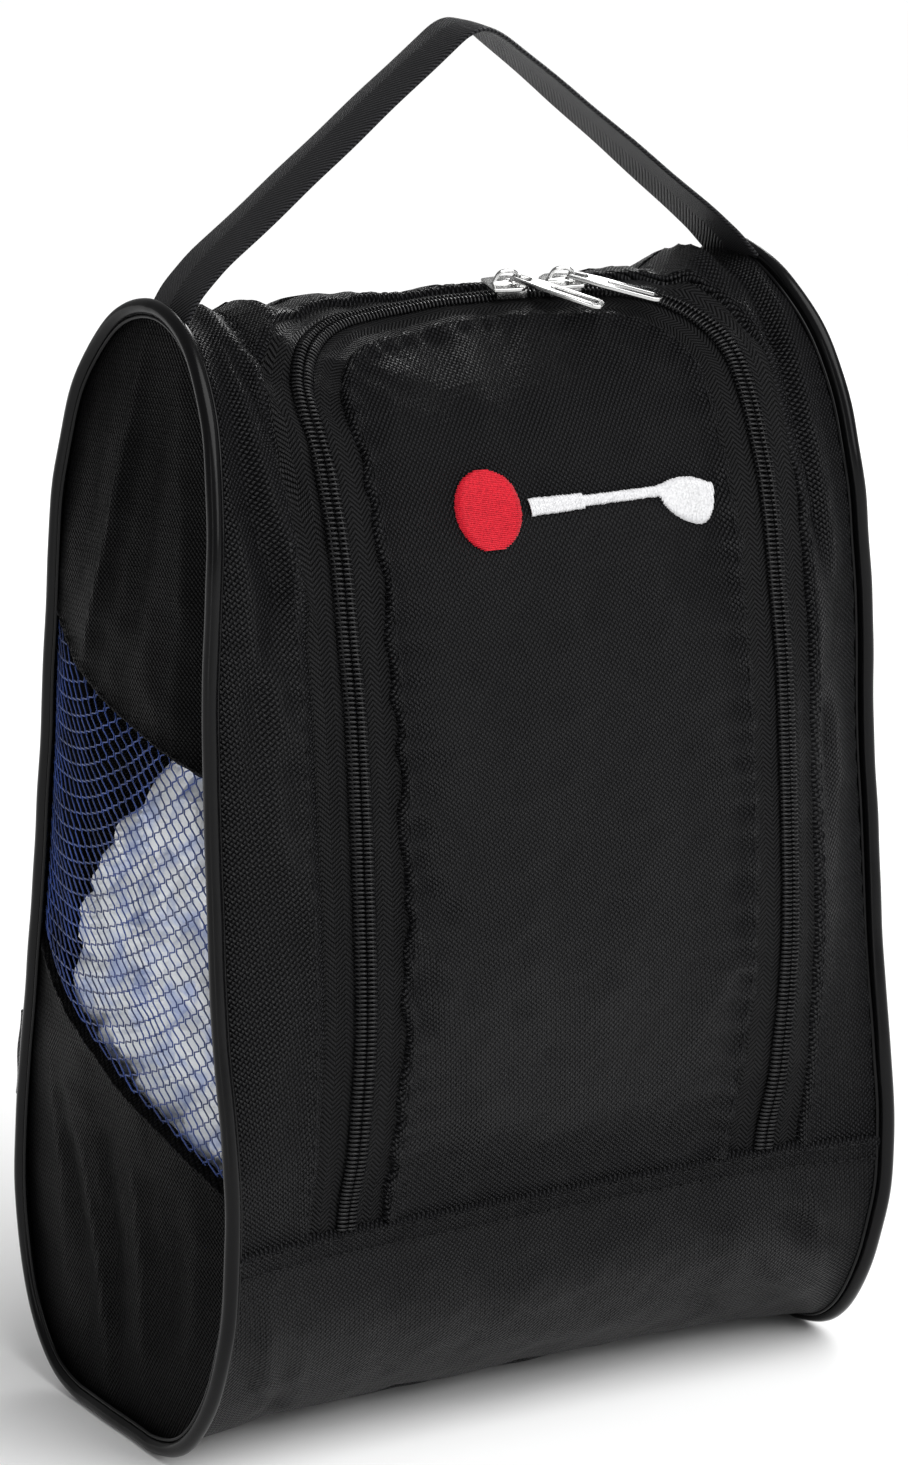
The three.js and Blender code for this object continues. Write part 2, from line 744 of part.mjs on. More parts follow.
const pivotHeight = plateTop + 1.7;
function addSlider(name, nose) {
  const place = onTopArc(SLIDER_ANGLES[name]);
  const body = add("slider_body_" + name, sliderBody(nose), "metal");
  place.add(body);
  const pull = add("pull_tab_" + name, pullTab(), "metal");
  place.add(pull);
  pull.position.set(BAIL_SPAN / 2 - 2, 0, pivotHeight);
  pull.rotation.set(0, THREE.MathUtils.degToRad(PULL_DROOP), THREE.MathUtils.degToRad(PULL_YAWS[name]));
  pull.rotation.order = "ZYX";
}
addSlider("left", 1);
addSlider("right", -1);

// ---- Handle and side tab ----------------------------------------------------------------------

// Half the webbing's width at a height above the handle's pivot: it narrows to a point there.
const strapHalf = (rise) => Math.min(WEBBING_WIDTH / 2, 0.4 + Math.abs(rise));

// Webbing along a path of [x, z] points, its width front to back, its thickness across the path.
function webbing(path, halfAt) {
  const face = (out) =>
    path.map(([x, z], i) => {
      const [xa, za] = path[Math.max(i - 1, 0)];
      const [xb, zb] = path[Math.min(i + 1, path.length - 1)];
      const length = Math.hypot(xb - xa, zb - za);
      const [nx, nz] = [-(zb - za) / length, (xb - xa) / length];
      const half = halfAt(z - HANDLE_PIVOT);
      return [-half, half].map(
        (y) => new THREE.Vector3(x + nx * out, HANDLE_Y + y, z + nz * out),
      );
    });
  return shell(face(WEBBING / 2), face(-WEBBING / 2));
}

function handlePath() {
  const foot = [HANDLE_HALF_SPAN, HANDLE_PIVOT + PIVOT_GAP];
  const peak = [7, HANDLE_APEX - WEBBING / 2 - 3];
  const leg = steps(10, (t) => [lerp(foot[0], peak[0], t ** 1.5), lerp(foot[1], peak[1], t ** 1.5)]);
  const right = [...leg, [3.5, HANDLE_APEX - WEBBING / 2 - 0.8]];
  const left = right.map(([x, z]) => [-x, z]).reverse();
  return [...right, [0, HANDLE_APEX - WEBBING / 2], ...left];
}
add("handle_strap", webbing(handlePath(), strapHalf), "webbing");

function handleEnd(side) {
  const foot = [side * (HANDLE_HALF_SPAN + 6.5), TOP + 1.6];
  const tip = [side * HANDLE_HALF_SPAN, HANDLE_PIVOT - PIVOT_GAP];
  const path = steps(4, (t) => [lerp(foot[0], tip[0], t), lerp(foot[1], tip[1], t)]);
  return webbing(path, (rise) => Math.min(WEBBING_WIDTH / 2, 0.4 + Math.abs(rise)));
}
add("handle_end_left", handleEnd(-1), "webbing");
add("handle_end_right", handleEnd(1), "webbing");

// A folded length of webbing caught in the seam behind the left gusset.
function sideTab() {
  const [low, high] = SIDE_TAB_HEIGHTS;
  const face = (out) =>
    steps(4, (v) => {
      const z = lerp(low, high, v);
      const { y, ny, nz } = outlineAt(atHeight(z, "back"));
      return [PIPING_RADIUS + SEAM_GAP, SIDE_TAB_REACH].map((reach) => {
        const x = -(halfWidth(z) - 1 - out);
        return new THREE.Vector3(x, y + ny * reach, z + nz * reach);
      });
    });
  return shell(face(0), face(-2.4));
}
add("rear_side_tab", sideTab(), "webbing");

export default group;
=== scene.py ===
import math

import bmesh
import bpy
import numpy as np
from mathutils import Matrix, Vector


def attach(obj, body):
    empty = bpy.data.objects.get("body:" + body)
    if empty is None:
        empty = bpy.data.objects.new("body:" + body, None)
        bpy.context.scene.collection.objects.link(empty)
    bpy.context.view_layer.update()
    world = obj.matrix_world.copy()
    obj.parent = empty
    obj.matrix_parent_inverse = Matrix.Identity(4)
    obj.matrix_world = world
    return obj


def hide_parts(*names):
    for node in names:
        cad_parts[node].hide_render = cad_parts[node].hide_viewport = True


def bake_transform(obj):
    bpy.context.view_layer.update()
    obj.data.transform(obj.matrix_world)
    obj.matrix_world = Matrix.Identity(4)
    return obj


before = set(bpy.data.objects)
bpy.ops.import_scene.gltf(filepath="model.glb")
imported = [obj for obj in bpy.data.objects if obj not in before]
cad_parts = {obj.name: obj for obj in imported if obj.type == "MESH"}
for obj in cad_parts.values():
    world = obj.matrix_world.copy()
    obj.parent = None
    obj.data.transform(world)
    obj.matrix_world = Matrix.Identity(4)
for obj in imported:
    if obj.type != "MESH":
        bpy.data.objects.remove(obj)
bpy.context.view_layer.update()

MM = 0.001
FINE = 1.0

# ---- Dimensions shared with the design ----

PIPING_RADIUS = 2.4
OUTLINE = [
    (-3, 345), (-24, 338.5), (-43, 320), (-53.5, 290), (-56, 250), (-57.5, 200),
    (-63, 145), (-70, 90), (-67.5, 52), (-54, 23), (-38, 7.5), (-20, PIPING_RADIUS),
    (4, PIPING_RADIUS), (28, PIPING_RADIUS), (46, 8), (60, 25), (67.5, 60), (65, 100),
    (55.5, 150), (49, 200), (45.5, 250), (43, 290), (35.5, 320), (19, 339),
]
SPAN_SAMPLES = 60
DEPTH_CENTRE = -3.625
TOP = 345
HALF_WIDTH = 115
TAPER = 4
NARROW_FROM = 230
NARROWING = 10.5
FRONT_BULGE = [
    (0, 0), (40, 2), (78, -6), (107, 6), (140, 18), (185, 22.5),
    (225, 21), (260, 15), (300, 7), (332, 0), (338, 0), (345, 0),
]
BACK_BULGE = 5
TOP_SAG = 4
BASE_TUCK = 6
GUSSET_BULGE = 7.5
FABRIC = 1.4
TAPE = 0.8
FABRIC_DEPTH = 1
TAPE_DEPTH = 1.4
EDGE_GAP = 2.8
SEWN_EDGE = 1.7  # the cloth runs under the piping to this distance from the piping's centre
ZIP_TOP = 8
TOP_ARC = 145
CORNER_ARC = 40
ZIP_HALF = 73
TAPE_WIDTH = 11.7
BAND_HEIGHT = 76
BACK_SEAM = -15
COIL_PITCH = 1.35
WEBBING_THICK = 1.5
HALF_WEBBING = 12
PULL_LENGTH = 29.0
PULL_THICK = 1.4
NET_SPACING, NET_ROW = 3.7, 2.8
NET_THREAD = 0.25
WEAVE_PITCH = 1.15
WEAVE_TURN = (0.79, 0.62)  # cosine and sine of the angle between the weave and the panel
FLOOR_HALF = 14.0  # metres
WINDOW_TOP = {"front": 215, "back": 247}
WINDOW_FOOT = {"front": 96, "back": 145}

# ---- Outline and walls ----


def fine(count):
    """A number of steps, multiplied by FINE."""
    return int(count * FINE)


def stacked(*parts):
    """Coordinates side by side in a last axis, after they are brought to one shape."""
    return np.stack(np.broadcast_arrays(*parts), -1)


def between(ends, share):
    return ends[0] + (ends[1] - ends[0]) * share


def read_table(value, table):
    """The second column at a value of the first, with straight lines between the rows."""
    at, result = np.array(table, float).T
    return np.interp(value, at, result)


def closed_curve(points, per_span):
    """A centripetal curve through the points, in even steps between each two."""
    p = np.array(points, float)
    t = np.linspace(0, 1, per_span, endpoint=False)[:, None]
    spans = []
    for i in range(len(p)):
        a, b, c, d = (p[(i + k - 1) % len(p)] for k in range(4))
        ab, bc, cd = (np.linalg.norm(q) ** 0.5 for q in (b - a, c - b, d - c))
        m = ((b - a) / ab - (c - a) / (ab + bc) + (c - b) / bc) * bc
        n = ((c - b) / bc - (d - b) / (bc + cd) + (d - c) / cd) * bc
        spans.append(b + m * t + (3 * (c - b) - 2 * m - n) * t**2 + (2 * (b - c) + m + n) * t**3)
    return np.concatenate(spans)


ring = closed_curve(OUTLINE, SPAN_SAMPLES)
ring[:, 1] = np.maximum(ring[:, 1], PIPING_RADIUS)
ring_tangent = np.roll(ring, -3, 0) - np.roll(ring, 3, 0)
ring_tangent /= np.linalg.norm(ring_tangent, axis=1)[:, None]
OUTLINE_TABLE = np.column_stack([ring, ring_tangent[:, 1], -ring_tangent[:, 0]])
OUTLINE_TABLE = np.vstack([OUTLINE_TABLE, OUTLINE_TABLE[:1]])
STEPS = np.linalg.norm(np.diff(OUTLINE_TABLE[:, :2], axis=0), axis=1)
DISTANCES = np.concatenate([[0], np.cumsum(STEPS)])
GIRTH = DISTANCES[-1]


def outline_at(s):
    """y, z and the outward normal at a distance s from the ridge, counted down the front."""
    along = np.mod(s, GIRTH)
    return [np.interp(along, DISTANCES, OUTLINE_TABLE[:, k]) for k in range(4)]


def at_height(z, side):
    half = np.searchsorted(DISTANCES, GIRTH / 2)
    if side == "front":
        return np.interp(z, OUTLINE_TABLE[:half, 1][::-1], DISTANCES[:half][::-1])
    return np.interp(z, OUTLINE_TABLE[half:, 1], DISTANCES[half:] - GIRTH)


def half_width(z):
    rise = np.maximum(0, z - NARROW_FROM) / (TOP - NARROW_FROM)
    return HALF_WIDTH - TAPER * z / TOP - NARROWING * rise**2


def front_bulge(z):
    table = np.array(FRONT_BULGE, float)
    last = len(table) - 1
    i = np.clip(np.searchsorted(table[:, 0], z) - 1, 0, last - 1)

    def at(k):
        return table[np.clip(k, 0, last)]

    def slope(k):
        rise = at(k + 1) - at(k - 1)
        return rise[..., 1] / rise[..., 0]

    span = at(i + 1)[..., 0] - at(i)[..., 0]
    t = np.clip((z - at(i)[..., 0]) / span, 0, 1)
    low, high = at(i)[..., 1], at(i + 1)[..., 1]
    bend = (slope(i) * (1 - t) - slope(i + 1) * t) * t * (1 - t) * span
    return low + (high - low) * t * t * (3 - 2 * t) + bend


def bulge(z, ny, nz, across):
    front = front_bulge(z) * np.maximum(0, -ny) ** 2 * (1 - across**4)
    back = BACK_BULGE * np.maximum(0, ny) ** 2
    top = -TOP_SAG * np.maximum(0, nz) ** 2
    tuck = -BASE_TUCK * np.sqrt(np.maximum(0, -nz)) * np.abs(ny) ** 0.35
    return front + (back + top) * (1 - across**2) + tuck * (1 - across**4)


def ripple(x, y, seed, wavelength, waves=9, stretch=1.0):
    """Smooth seeded noise of about unit height; stretch above 1 lengthens it along y."""
    rng = np.random.default_rng(seed)
    total = 0
    for _ in range(waves):
        turn = rng.uniform(0, 2 * math.pi)
        length = wavelength * rng.uniform(0.7, 1.5)
        phase = rng.uniform(0, 2 * math.pi)
        along = x * math.cos(turn) + y * math.sin(turn) / stretch
        total = total + np.sin(2 * math.pi * along / length + phase)
    return total / math.sqrt(waves)


def creases(x, y, lines):
    """Soft ridges and valleys: each line is (x0, y0, x1, y1, half width, height)."""
    total = np.zeros(np.broadcast(x, y).shape)
    for x0, y0, x1, y1, width, height in lines:
        dx, dy = x1 - x0, y1 - y0
        square = dx * dx + dy * dy
        t = np.clip(((x - x0) * dx + (y - y0) * dy) / square, 0, 1)
        bow = 0.06 * math.sqrt(square) * np.sin(math.pi * t)
        length = math.sqrt(square)
        away = np.hypot(x - x0 - dx * t - bow * dy / length, y - y0 - dy * t + bow * dx / length)
        taper = np.sin(math.pi * np.clip(0.12 + 0.76 * t, 0, 1)) ** 0.8
        total += height * taper * np.exp(-((away / width) ** 2))
    return total


# Folds of the front by x and height: drag lines from the handle's feet, slack beside the zip.
FRONT_CREASES = [
    (-97, 340, -101, 276, 3.0, 2.2),
    (-94, 338, -93, 268, 2.8, -2.6),
    (-92, 338, -82, 262, 3.0, 3.2),
    (-89, 336, -76, 282, 2.4, -2.6),
    (-86, 338, -70, 300, 2.8, 3.0),
    (-80, 338, -62, 318, 2.4, -2.2),
    (-74, 340, -54, 332, 2.4, 1.6),
    (-101, 290, -90, 226, 3.8, 2.0),
    (-92, 270, -99, 205, 3.8, -1.8),
    (-97, 236, -88, 175, 5.0, 1.4),
    (-106, 205, -101, 140, 5.0, -0.8),
    (-92, 160, -100, 96, 6.0, 0.9),
    (97, 340, 101, 250, 3.6, 3.0),
    (92, 342, 94, 256, 3.0, -3.0),
    (88, 338, 88, 276, 2.8, 2.2),
    (82, 342, 66, 340, 3.0, 2.0),
    (78, 340, 90, 322, 2.6, -2.0),
    (92, 262, 102, 190, 4.6, 1.9),
    (102, 256, 92, 180, 4.6, -1.8),
    (100, 190, 93, 122, 5.5, 1.0),
    (104, 150, 97, 92, 5.0, -0.9),
    (-58, 214, -42, 190, 3.4, 0.9),
    (-59, 196, -46, 172, 3.2, -0.8),
    (-60, 176, -44, 150, 3.6, 1.0),
    (-59, 156, -49, 134, 3.2, -0.7),
    (-60, 300, -44, 318, 3.6, 0.8),
    (-44, 331, -20, 322, 4.0, 0.7),
    (30, 330, 56, 316, 4.5, 0.8),
    (60, 300, 52, 262, 4.0, -0.7),
    (22, 268, 52, 246, 6.0, 0.7),
    (40, 224, 60, 190, 6.0, 0.7),
    (60, 150, 40, 116, 6.0, 0.8),
    (58, 132, 62, 92, 4.0, -1.0),
    (-40, 108, 34, 96, 9.0, 0.9),
    (-100, 62, -92, 18, 3.4, 1.2),
    (-108, 40, -84, 14, 3.2, -1.4),
    (-86, 44, -78, 12, 3.6, 1.0),
    (-50, 52, 20, 60, 8.0, -0.7),
    (-20, 30, 40, 22, 6.0, 0.7),
    (62, 50, 96, 22, 4.4, 1.8),
    (74, 58, 106, 40, 4.0, -1.6),
    (52, 34, 78, 12, 4.0, -1.2),
    (90, 66, 104, 26, 3.6, 1.2),
]
# Folds over the ridge by x and the slope, which runs from -20 in front to 20 behind.
RIDGE_CREASES = [
    (-90, -19, -88, 14, 3.0, 2.6),
    (-82, -19, -80, 12, 3.2, -3.0),
    (-72, -19, -70, 14, 3.6, 2.6),
    (-60, -16, -58, 12, 4.0, -1.6),
    (-46, -12, -46, 12, 6.0, 1.6),
    (66, -8, 70, 12, 4.0, -2.4),
    (79, -19, 80, 14, 3.8, 3.4),
    (89, -19, 88, 12, 2.8, -2.6),
    (97, -19, 95, 14, 2.6, 2.0),
]
BACK_CREASES = [
    (-80, 330, -98, 270, 4.5, 1.6),
    (82, 332, 99, 276, 4.5, 1.6),
    (-60, 300, 40, 250, 9.0, 1.1),
    (50, 240, -70, 150, 11.0, -1.2),
    (-90, 150, -60, 60, 7.0, 1.2),
    (88, 160, 62, 50, 7.0, 1.3),
    (-20, 90, 60, 40, 9.0, 1.0),
]


def folds(x, z, ny, nz):
    """The wall's slack cloth, zero at the gusset seams."""
    across = np.clip(np.abs(x) / (half_width(z) - EDGE_GAP), 0, 1)
    held = 1 - across**10
    front = 1.35 * creases(x, z, FRONT_CREASES) + 0.4 * ripple(x, z, 3, 34, stretch=1.6)
    front = front + 0.16 * ripple(x, z, 5, 13)
    back = creases(x, z, BACK_CREASES) + 0.8 * ripple(x, z, 11, 60) + 0.2 * ripple(x, z, 12, 17)
    over = ripple(x, ny * 20, 21, 26) * 0.7 + 1.25 * creases(x, ny * 20, RIDGE_CREASES)
    over = np.clip(nz, 0, 1) * over
    weight = np.clip(0.5 - ny * 2.5, 0, 1)
    return held * (front * weight + back * (1 - weight) + over)


def zip_distance(x, s):
    """Distance on the wall from the zip's middle line."""
    a = np.abs(x)
    corner = np.hypot(a - ZIP_HALF + CORNER_ARC, s - CORNER_S) - CORNER_ARC
    top = np.hypot(a, s - ZIP_TOP - TOP_ARC) - TOP_ARC
    arc = np.where(a > TOP_ARC * math.sin(CORNER_TURN), corner, top)
    return np.abs(np.where(s > CORNER_S, a - ZIP_HALF, arc))


def wall_face(x, s, slack):
    y, z, ny, nz = outline_at(s)
    across = np.clip(np.abs(x) / (half_width(z) - EDGE_GAP), 0, 1)
    out = bulge(z, ny, nz, across) - FABRIC_DEPTH
    if slack:
        stiff = 1 - 0.85 * np.exp(-((zip_distance(x, s) / 8) ** 2))
        out = out + slack * folds(x, z, ny, nz) * stiff
    return np.stack([x, y + ny * out, np.maximum(z + nz * out, 0.05)], -1)


def unit(v):
    return v / np.maximum(np.linalg.norm(v, axis=-1, keepdims=True), 1e-9)


def wrap(x, s, depth, slack=1.0):
    """A point of the wall and its outward normal, at a depth inside the piping's centre line."""
    x, s = np.broadcast_arrays(np.asarray(x, float), np.asarray(s, float))
    down = wall_face(x, s + 0.7, slack) - wall_face(x, s - 0.7, slack)
    sideways = wall_face(x + 0.7, s, slack) - wall_face(x - 0.7, s, slack)
    normal = unit(np.cross(down, sideways))
    place = wall_face(x, s, slack) + normal * (FABRIC_DEPTH - np.asarray(depth))[..., None]
    place[..., 2] = np.maximum(place[..., 2], 0.05)
    return place, normal


def edge(s):
    return half_width(outline_at(s)[1]) - SEWN_EDGE


BAND_SEAM = float(at_height(BAND_HEIGHT, "front"))
BASE_FRONT = float(at_height(PIPING_RADIUS + 0.4, "front"))
BASE_BACK = float(at_height(PIPING_RADIUS + 0.4, "back"))

# ---- Meshes ----


def add_object(name, data):
    made = bpy.data.objects.new(name, data)
    bpy.context.collection.objects.link(made)
    return made


def new_object(name, verts, faces, material, uv=None, smooth=True):
    """A mesh object from millimetres in the outline's numbers, with a map in millimetres."""
    verts = np.asarray(verts, float).reshape(-1, 3) - [0, DEPTH_CENTRE, 0]
    mesh = bpy.data.meshes.new(name)
    mesh.from_pydata((verts * MM).tolist(), [], [tuple(int(i) for i in f) for f in faces])
    if uv is not None:
        loops = np.empty(len(mesh.loops), int)
        mesh.loops.foreach_get("vertex_index", loops)
        layer = mesh.uv_layers.new(name="cloth")
        layer.data.foreach_set("uv", np.asarray(uv, np.float32).reshape(-1, 2)[loops].ravel())
    mesh.validate()
    if smooth:
        mesh.shade_smooth()
    mesh.materials.append(material)
    return add_object(name, mesh)


def grid_faces(rows, cols, start=0, flip=False):
    r, c = np.meshgrid(np.arange(rows - 1), np.arange(cols - 1), indexing="ij")
    a = start + r * cols + c
    quads = np.stack([a, a + 1, a + cols + 1, a + cols], -1).reshape(-1, 4)
    return quads[:, ::-1] if flip else quads


def shell(outer, inner):
    """Vertices and faces of a sheet with thickness, closed round its rim."""
    rows, cols = outer.shape[:2]
    count = rows * cols
    rim = list(range(cols))
    rim += [r * cols + cols - 1 for r in range(1, rows)]
    rim += [(rows - 1) * cols + c for c in range(cols - 2, -1, -1)]
    rim += [r * cols for r in range(rows - 2, 0, -1)]
    rim = np.array(rim)
    after = np.roll(rim, -1)
    sides = np.stack([rim, rim + count, after + count, after], -1)
    faces = [grid_faces(rows, cols), grid_faces(rows, cols, count, True), sides]
    return np.concatenate([outer.reshape(-1, 3), inner.reshape(-1, 3)]), np.concatenate(faces)


def facing_out(verts, faces):
    """Reverses the faces if they enclose a negative volume."""
    a, b, c = (verts[faces[:, k]] for k in range(3))
    volume = np.einsum("ij,ij->", a, np.cross(b, c))
    if faces.shape[1] == 4:
        d = verts[faces[:, 3]]
        volume += np.einsum("ij,ij->", a, np.cross(c, d))
    return faces if volume > 0 else faces[:, ::-1]


def sheet_object(name, outer, inner, uv, material):
    verts, faces = shell(outer, inner)
    both = np.concatenate([uv.reshape(-1, 2), uv.reshape(-1, 2)])
    return new_object(name, verts, facing_out(verts, faces), material, both)


def wall_object(name, x, s, depth, thickness, material, uv=None):
    outer, _ = wrap(x, s, depth)
    inner, _ = wrap(x, s, np.asarray(depth) + thickness)
    flat = stacked(x, s) if uv is None else uv
    return sheet_object(name, outer, inner, flat, material)


def tubes(paths, radius, sides, up, closed=False):
    """Vertices and faces of many tubes with the same number of points; up is near their tops."""
    paths = np.asarray(paths, float)
    count, length = paths.shape[:2]
    if closed:
        along = np.roll(paths, -1, 1) - np.roll(paths, 1, 1)
    else:
        along = np.gradient(paths, axis=1)
    along = unit(along)
    side = unit(np.cross(along, np.broadcast_to(up, paths.shape)))
    top = np.cross(side, along)
    angle = 2 * math.pi * (np.arange(sides) + 0.5) / sides
    radius = np.broadcast_to(np.asarray(radius, float), (count, length))[..., None, None]
    wide = side[:, :, None] * np.cos(angle)[:, None] + top[:, :, None] * np.sin(angle)[:, None]
    rings = paths[:, :, None] + wide * radius
    base = np.arange(count)[:, None, None] * length * sides
    steps = length if closed else length - 1
    r = np.arange(steps)[None, :, None]
    k = np.arange(sides)[None, None, :]
    here = base + r * sides
    there = base + ((r + 1) % length) * sides
    nxt = (k + 1) % sides
    quads = np.stack([here + k, there + k, there + nxt, here + nxt], -1).reshape(-1, 4)
    faces = quads.tolist()
    if not closed:
        for i in range(count):
            first = i * length * sides
            last = first + (length - 1) * sides
            faces.append([first + j for j in range(sides)])
            faces.append([last + j for j in range(sides - 1, -1, -1)])
    return rings.reshape(-1, 3), faces


def stitches(place, total, depth_of_dip=0.25, length=2.7, gap=0.9, radius=0.2):
    """Threads along a line: place(t) gives points and normals at distances t."""
    starts = np.arange(0.6, total - length, length + gap)
    t = starts[:, None] + np.linspace(0, 1, 5)[None, :] * length
    points, normals = place(t)
    lift = np.array([-depth_of_dip, 0.12, 0.18, 0.12, -depth_of_dip])[None, :, None]
    return tubes(points + normals * lift, radius, 5, normals)


def merge(parts):
    verts, faces, start = [], [], 0
    for v, f in parts:
        verts.append(v)
        faces += [[i + start for i in face] for face in (f.tolist() if hasattr(f, "tolist") else f)]
        start += len(v)
    return np.concatenate(verts), faces


# ---- Materials ----


class Field:
    """A number worked out by shader nodes, so that patterns read as sums."""

    def __init__(self, tree, socket):
        self.tree = tree
        self.socket = socket

    def math(self, operation, *others):
        node = self.tree.nodes.new("ShaderNodeMath")
        node.operation = operation
        self.tree.links.new(self.socket, node.inputs[0])
        for i, other in enumerate(others):
            if isinstance(other, Field):
                self.tree.links.new(other.socket, node.inputs[i + 1])
            else:
                node.inputs[i + 1].default_value = other
        return Field(self.tree, node.outputs[0])

    def __add__(self, other):
        return self.math("ADD", other)

    def __sub__(self, other):
        return self.math("SUBTRACT", other)

    def __mul__(self, other):
        return self.math("MULTIPLY", other)


def node_material(name, color, roughness, **sockets):
    material = bpy.data.materials.new(name)
    material.use_nodes = True
    shader = material.node_tree.nodes["Principled BSDF"]
    shader.inputs["Base Color"].default_value = (*color, 1)
    shader.inputs["Roughness"].default_value = roughness
    for key, value in sockets.items():
        shader.inputs[key.replace("_", " ")].default_value = value
    return material, material.node_tree, shader


def cloth_map(tree):
    node = tree.nodes.new("ShaderNodeUVMap")
    node.uv_map = "cloth"
    split = tree.nodes.new("ShaderNodeSeparateXYZ")
    tree.links.new(node.outputs[0], split.inputs[0])
    return Field(tree, split.outputs[0]), Field(tree, split.outputs[1])


def noise_field(tree, scale, detail):
    coords = tree.nodes.new("ShaderNodeTexCoord")
    node = tree.nodes.new("ShaderNodeTexNoise")
    node.inputs["Scale"].default_value = scale
    node.inputs["Detail"].default_value = detail
    tree.links.new(coords.outputs["Object"], node.inputs["Vector"])
    return Field(tree, node.outputs[0])


def add_bump(tree, shader, height, distance):
    """Relief of a height field, with its full height in millimetres."""
    bump = tree.nodes.new("ShaderNodeBump")
    bump.inputs["Strength"].default_value = 1.0
    bump.inputs["Distance"].default_value = distance * MM
    tree.links.new(height.socket, bump.inputs["Height"])
    tree.links.new(bump.outputs[0], shader.inputs["Normal"])


def tint(tree, shader, value, low, high, lo=0.0, hi=1.0):
    ramp = tree.nodes.new("ShaderNodeMapRange")
    ramp.inputs["From Min"].default_value = lo
    ramp.inputs["From Max"].default_value = hi
    tree.links.new(value.socket, ramp.inputs["Value"])
    mix = tree.nodes.new("ShaderNodeMix")
    mix.data_type = "RGBA"
    mix.inputs["A"].default_value = (*low, 1)
    mix.inputs["B"].default_value = (*high, 1)
    tree.links.new(ramp.outputs[0], mix.inputs["Factor"])
    tree.links.new(mix.outputs["Result"], shader.inputs["Base Color"])


def thread_round(field):
    """1 in the middle of a thread and 0 at its edges, for a field in threads."""
    middle = field.math("FRACT") - 0.5
    return (middle * middle) * -4 + 1


def plain_weave(u, v, pitch):
    """Heights of a plain weave: warp over weft on the black squares of a chessboard."""
    a = u * (1 / pitch)
    b = v * (1 / pitch)
    parity = (a.math("FLOOR") + b.math("FLOOR")).math("PINGPONG", 1.0)
    warp = thread_round(a) * (thread_round(b) * 0.6 + 0.4)
    weft = thread_round(b) * (thread_round(a) * 0.6 + 0.4)
    return warp * parity + weft * (parity * -1 + 1)


def oxford_material(name, level, high):
    material, tree, shader = node_material(
        name, (0.005, 0.005, 0.0056), 0.36, Specular_IOR_Level=level,
    )
    u, v = cloth_map(tree)
    cosine, sine = WEAVE_TURN
    weave = plain_weave(u * cosine + v * sine, v * cosine - u * sine, WEAVE_PITCH)
    uneven = noise_field(tree, 900, 2.0)
    height = weave * (uneven * 0.5 + 0.75)
    add_bump(tree, shader, height, 1.5)
    # The colour follows the weave's height: painted shade darkens the gaps between threads, and the
    # uneven noise adds random tone.
    tint(tree, shader, height, (0.0002, 0.0002, 0.0002), (high, high, high * 1.12))
    return material


def herringbone(u, v, turn_every, pitch):
    """Slanting threads that turn back at even steps across the tape."""
    zigzag = u.math("PINGPONG", turn_every)
    line = (v + zigzag) * (1 / pitch)
    return thread_round(line) * (thread_round(u * 2.2) * 0.35 + 0.65)


def tape_material(name, turn_every, pitch, low, high, relief):
    material, tree, shader = node_material(
        name, (0.009, 0.009, 0.0105), 0.4, Specular_IOR_Level=0.1,
    )
    u, v = cloth_map(tree)
    height = herringbone(u, v, turn_every, pitch)
    add_bump(tree, shader, height, relief)
    # The colour follows the herringbone's height: painted shade darkens the gaps between threads.
    tint(tree, shader, height, low, high)
    return material


def gloss_material(name, color, roughness, coat, level):
    material, tree, shader = node_material(
        name, color, roughness, Specular_IOR_Level=level, Coat_Weight=coat, Coat_Roughness=0.12,
    )
    height = noise_field(tree, 260, 2.0)
    add_bump(tree, shader, height, 0.05)
    return material


def net_material():
    material, tree, shader = node_material(
        "net", (0.01, 0.03, 0.14), 0.4,
        Specular_IOR_Level=0.5, Sheen_Weight=0.08, Sheen_Roughness=0.3,
    )
    patch = noise_field(tree, 60, 2.0)
    tint(tree, shader, patch, (0.008, 0.025, 0.115), (0.022, 0.062, 0.28), 0.35, 0.65)
    add_bump(tree, shader, noise_field(tree, 3000, 1.0), 0.06)
    return material


def paper_material():
    material, tree, shader = node_material(
        "crumpled_paper", (0.8, 0.83, 0.88), 0.38, Specular_IOR_Level=0.6, Coat_Weight=0.25,
        Coat_Roughness=0.2,
    )
    creased = noise_field(tree, 110, 6.0)
    add_bump(tree, shader, creased, 2.2)
    # Painted shade: the colour turns darker and bluer where the crease noise is low, in the hollows
    # of the crumples.
    tint(tree, shader, creased, (0.56, 0.63, 0.84), (0.96, 0.98, 1.0), 0.38, 0.52)
    return material


def nickel_material():
    material, tree, shader = node_material("nickel", (0.56, 0.56, 0.555), 0.13, Metallic=1.0)
    scuff = noise_field(tree, 90, 2.0)
    level = scuff * 0.08 + 0.11
    tree.links.new(level.socket, shader.inputs["Roughness"])
    return material


def thread_material(name, low, high, roughness=0.45, sheen=0.1):
    material, tree, shader = node_material(
        name, high, roughness, Specular_IOR_Level=0.12, Sheen_Weight=sheen, Sheen_Roughness=0.35,
    )
    fibre = noise_field(tree, 1500, 3.0)
    tint(tree, shader, fibre, low, high, 0.3, 0.6)
    add_bump(tree, shader, fibre, 0.05)
    return material


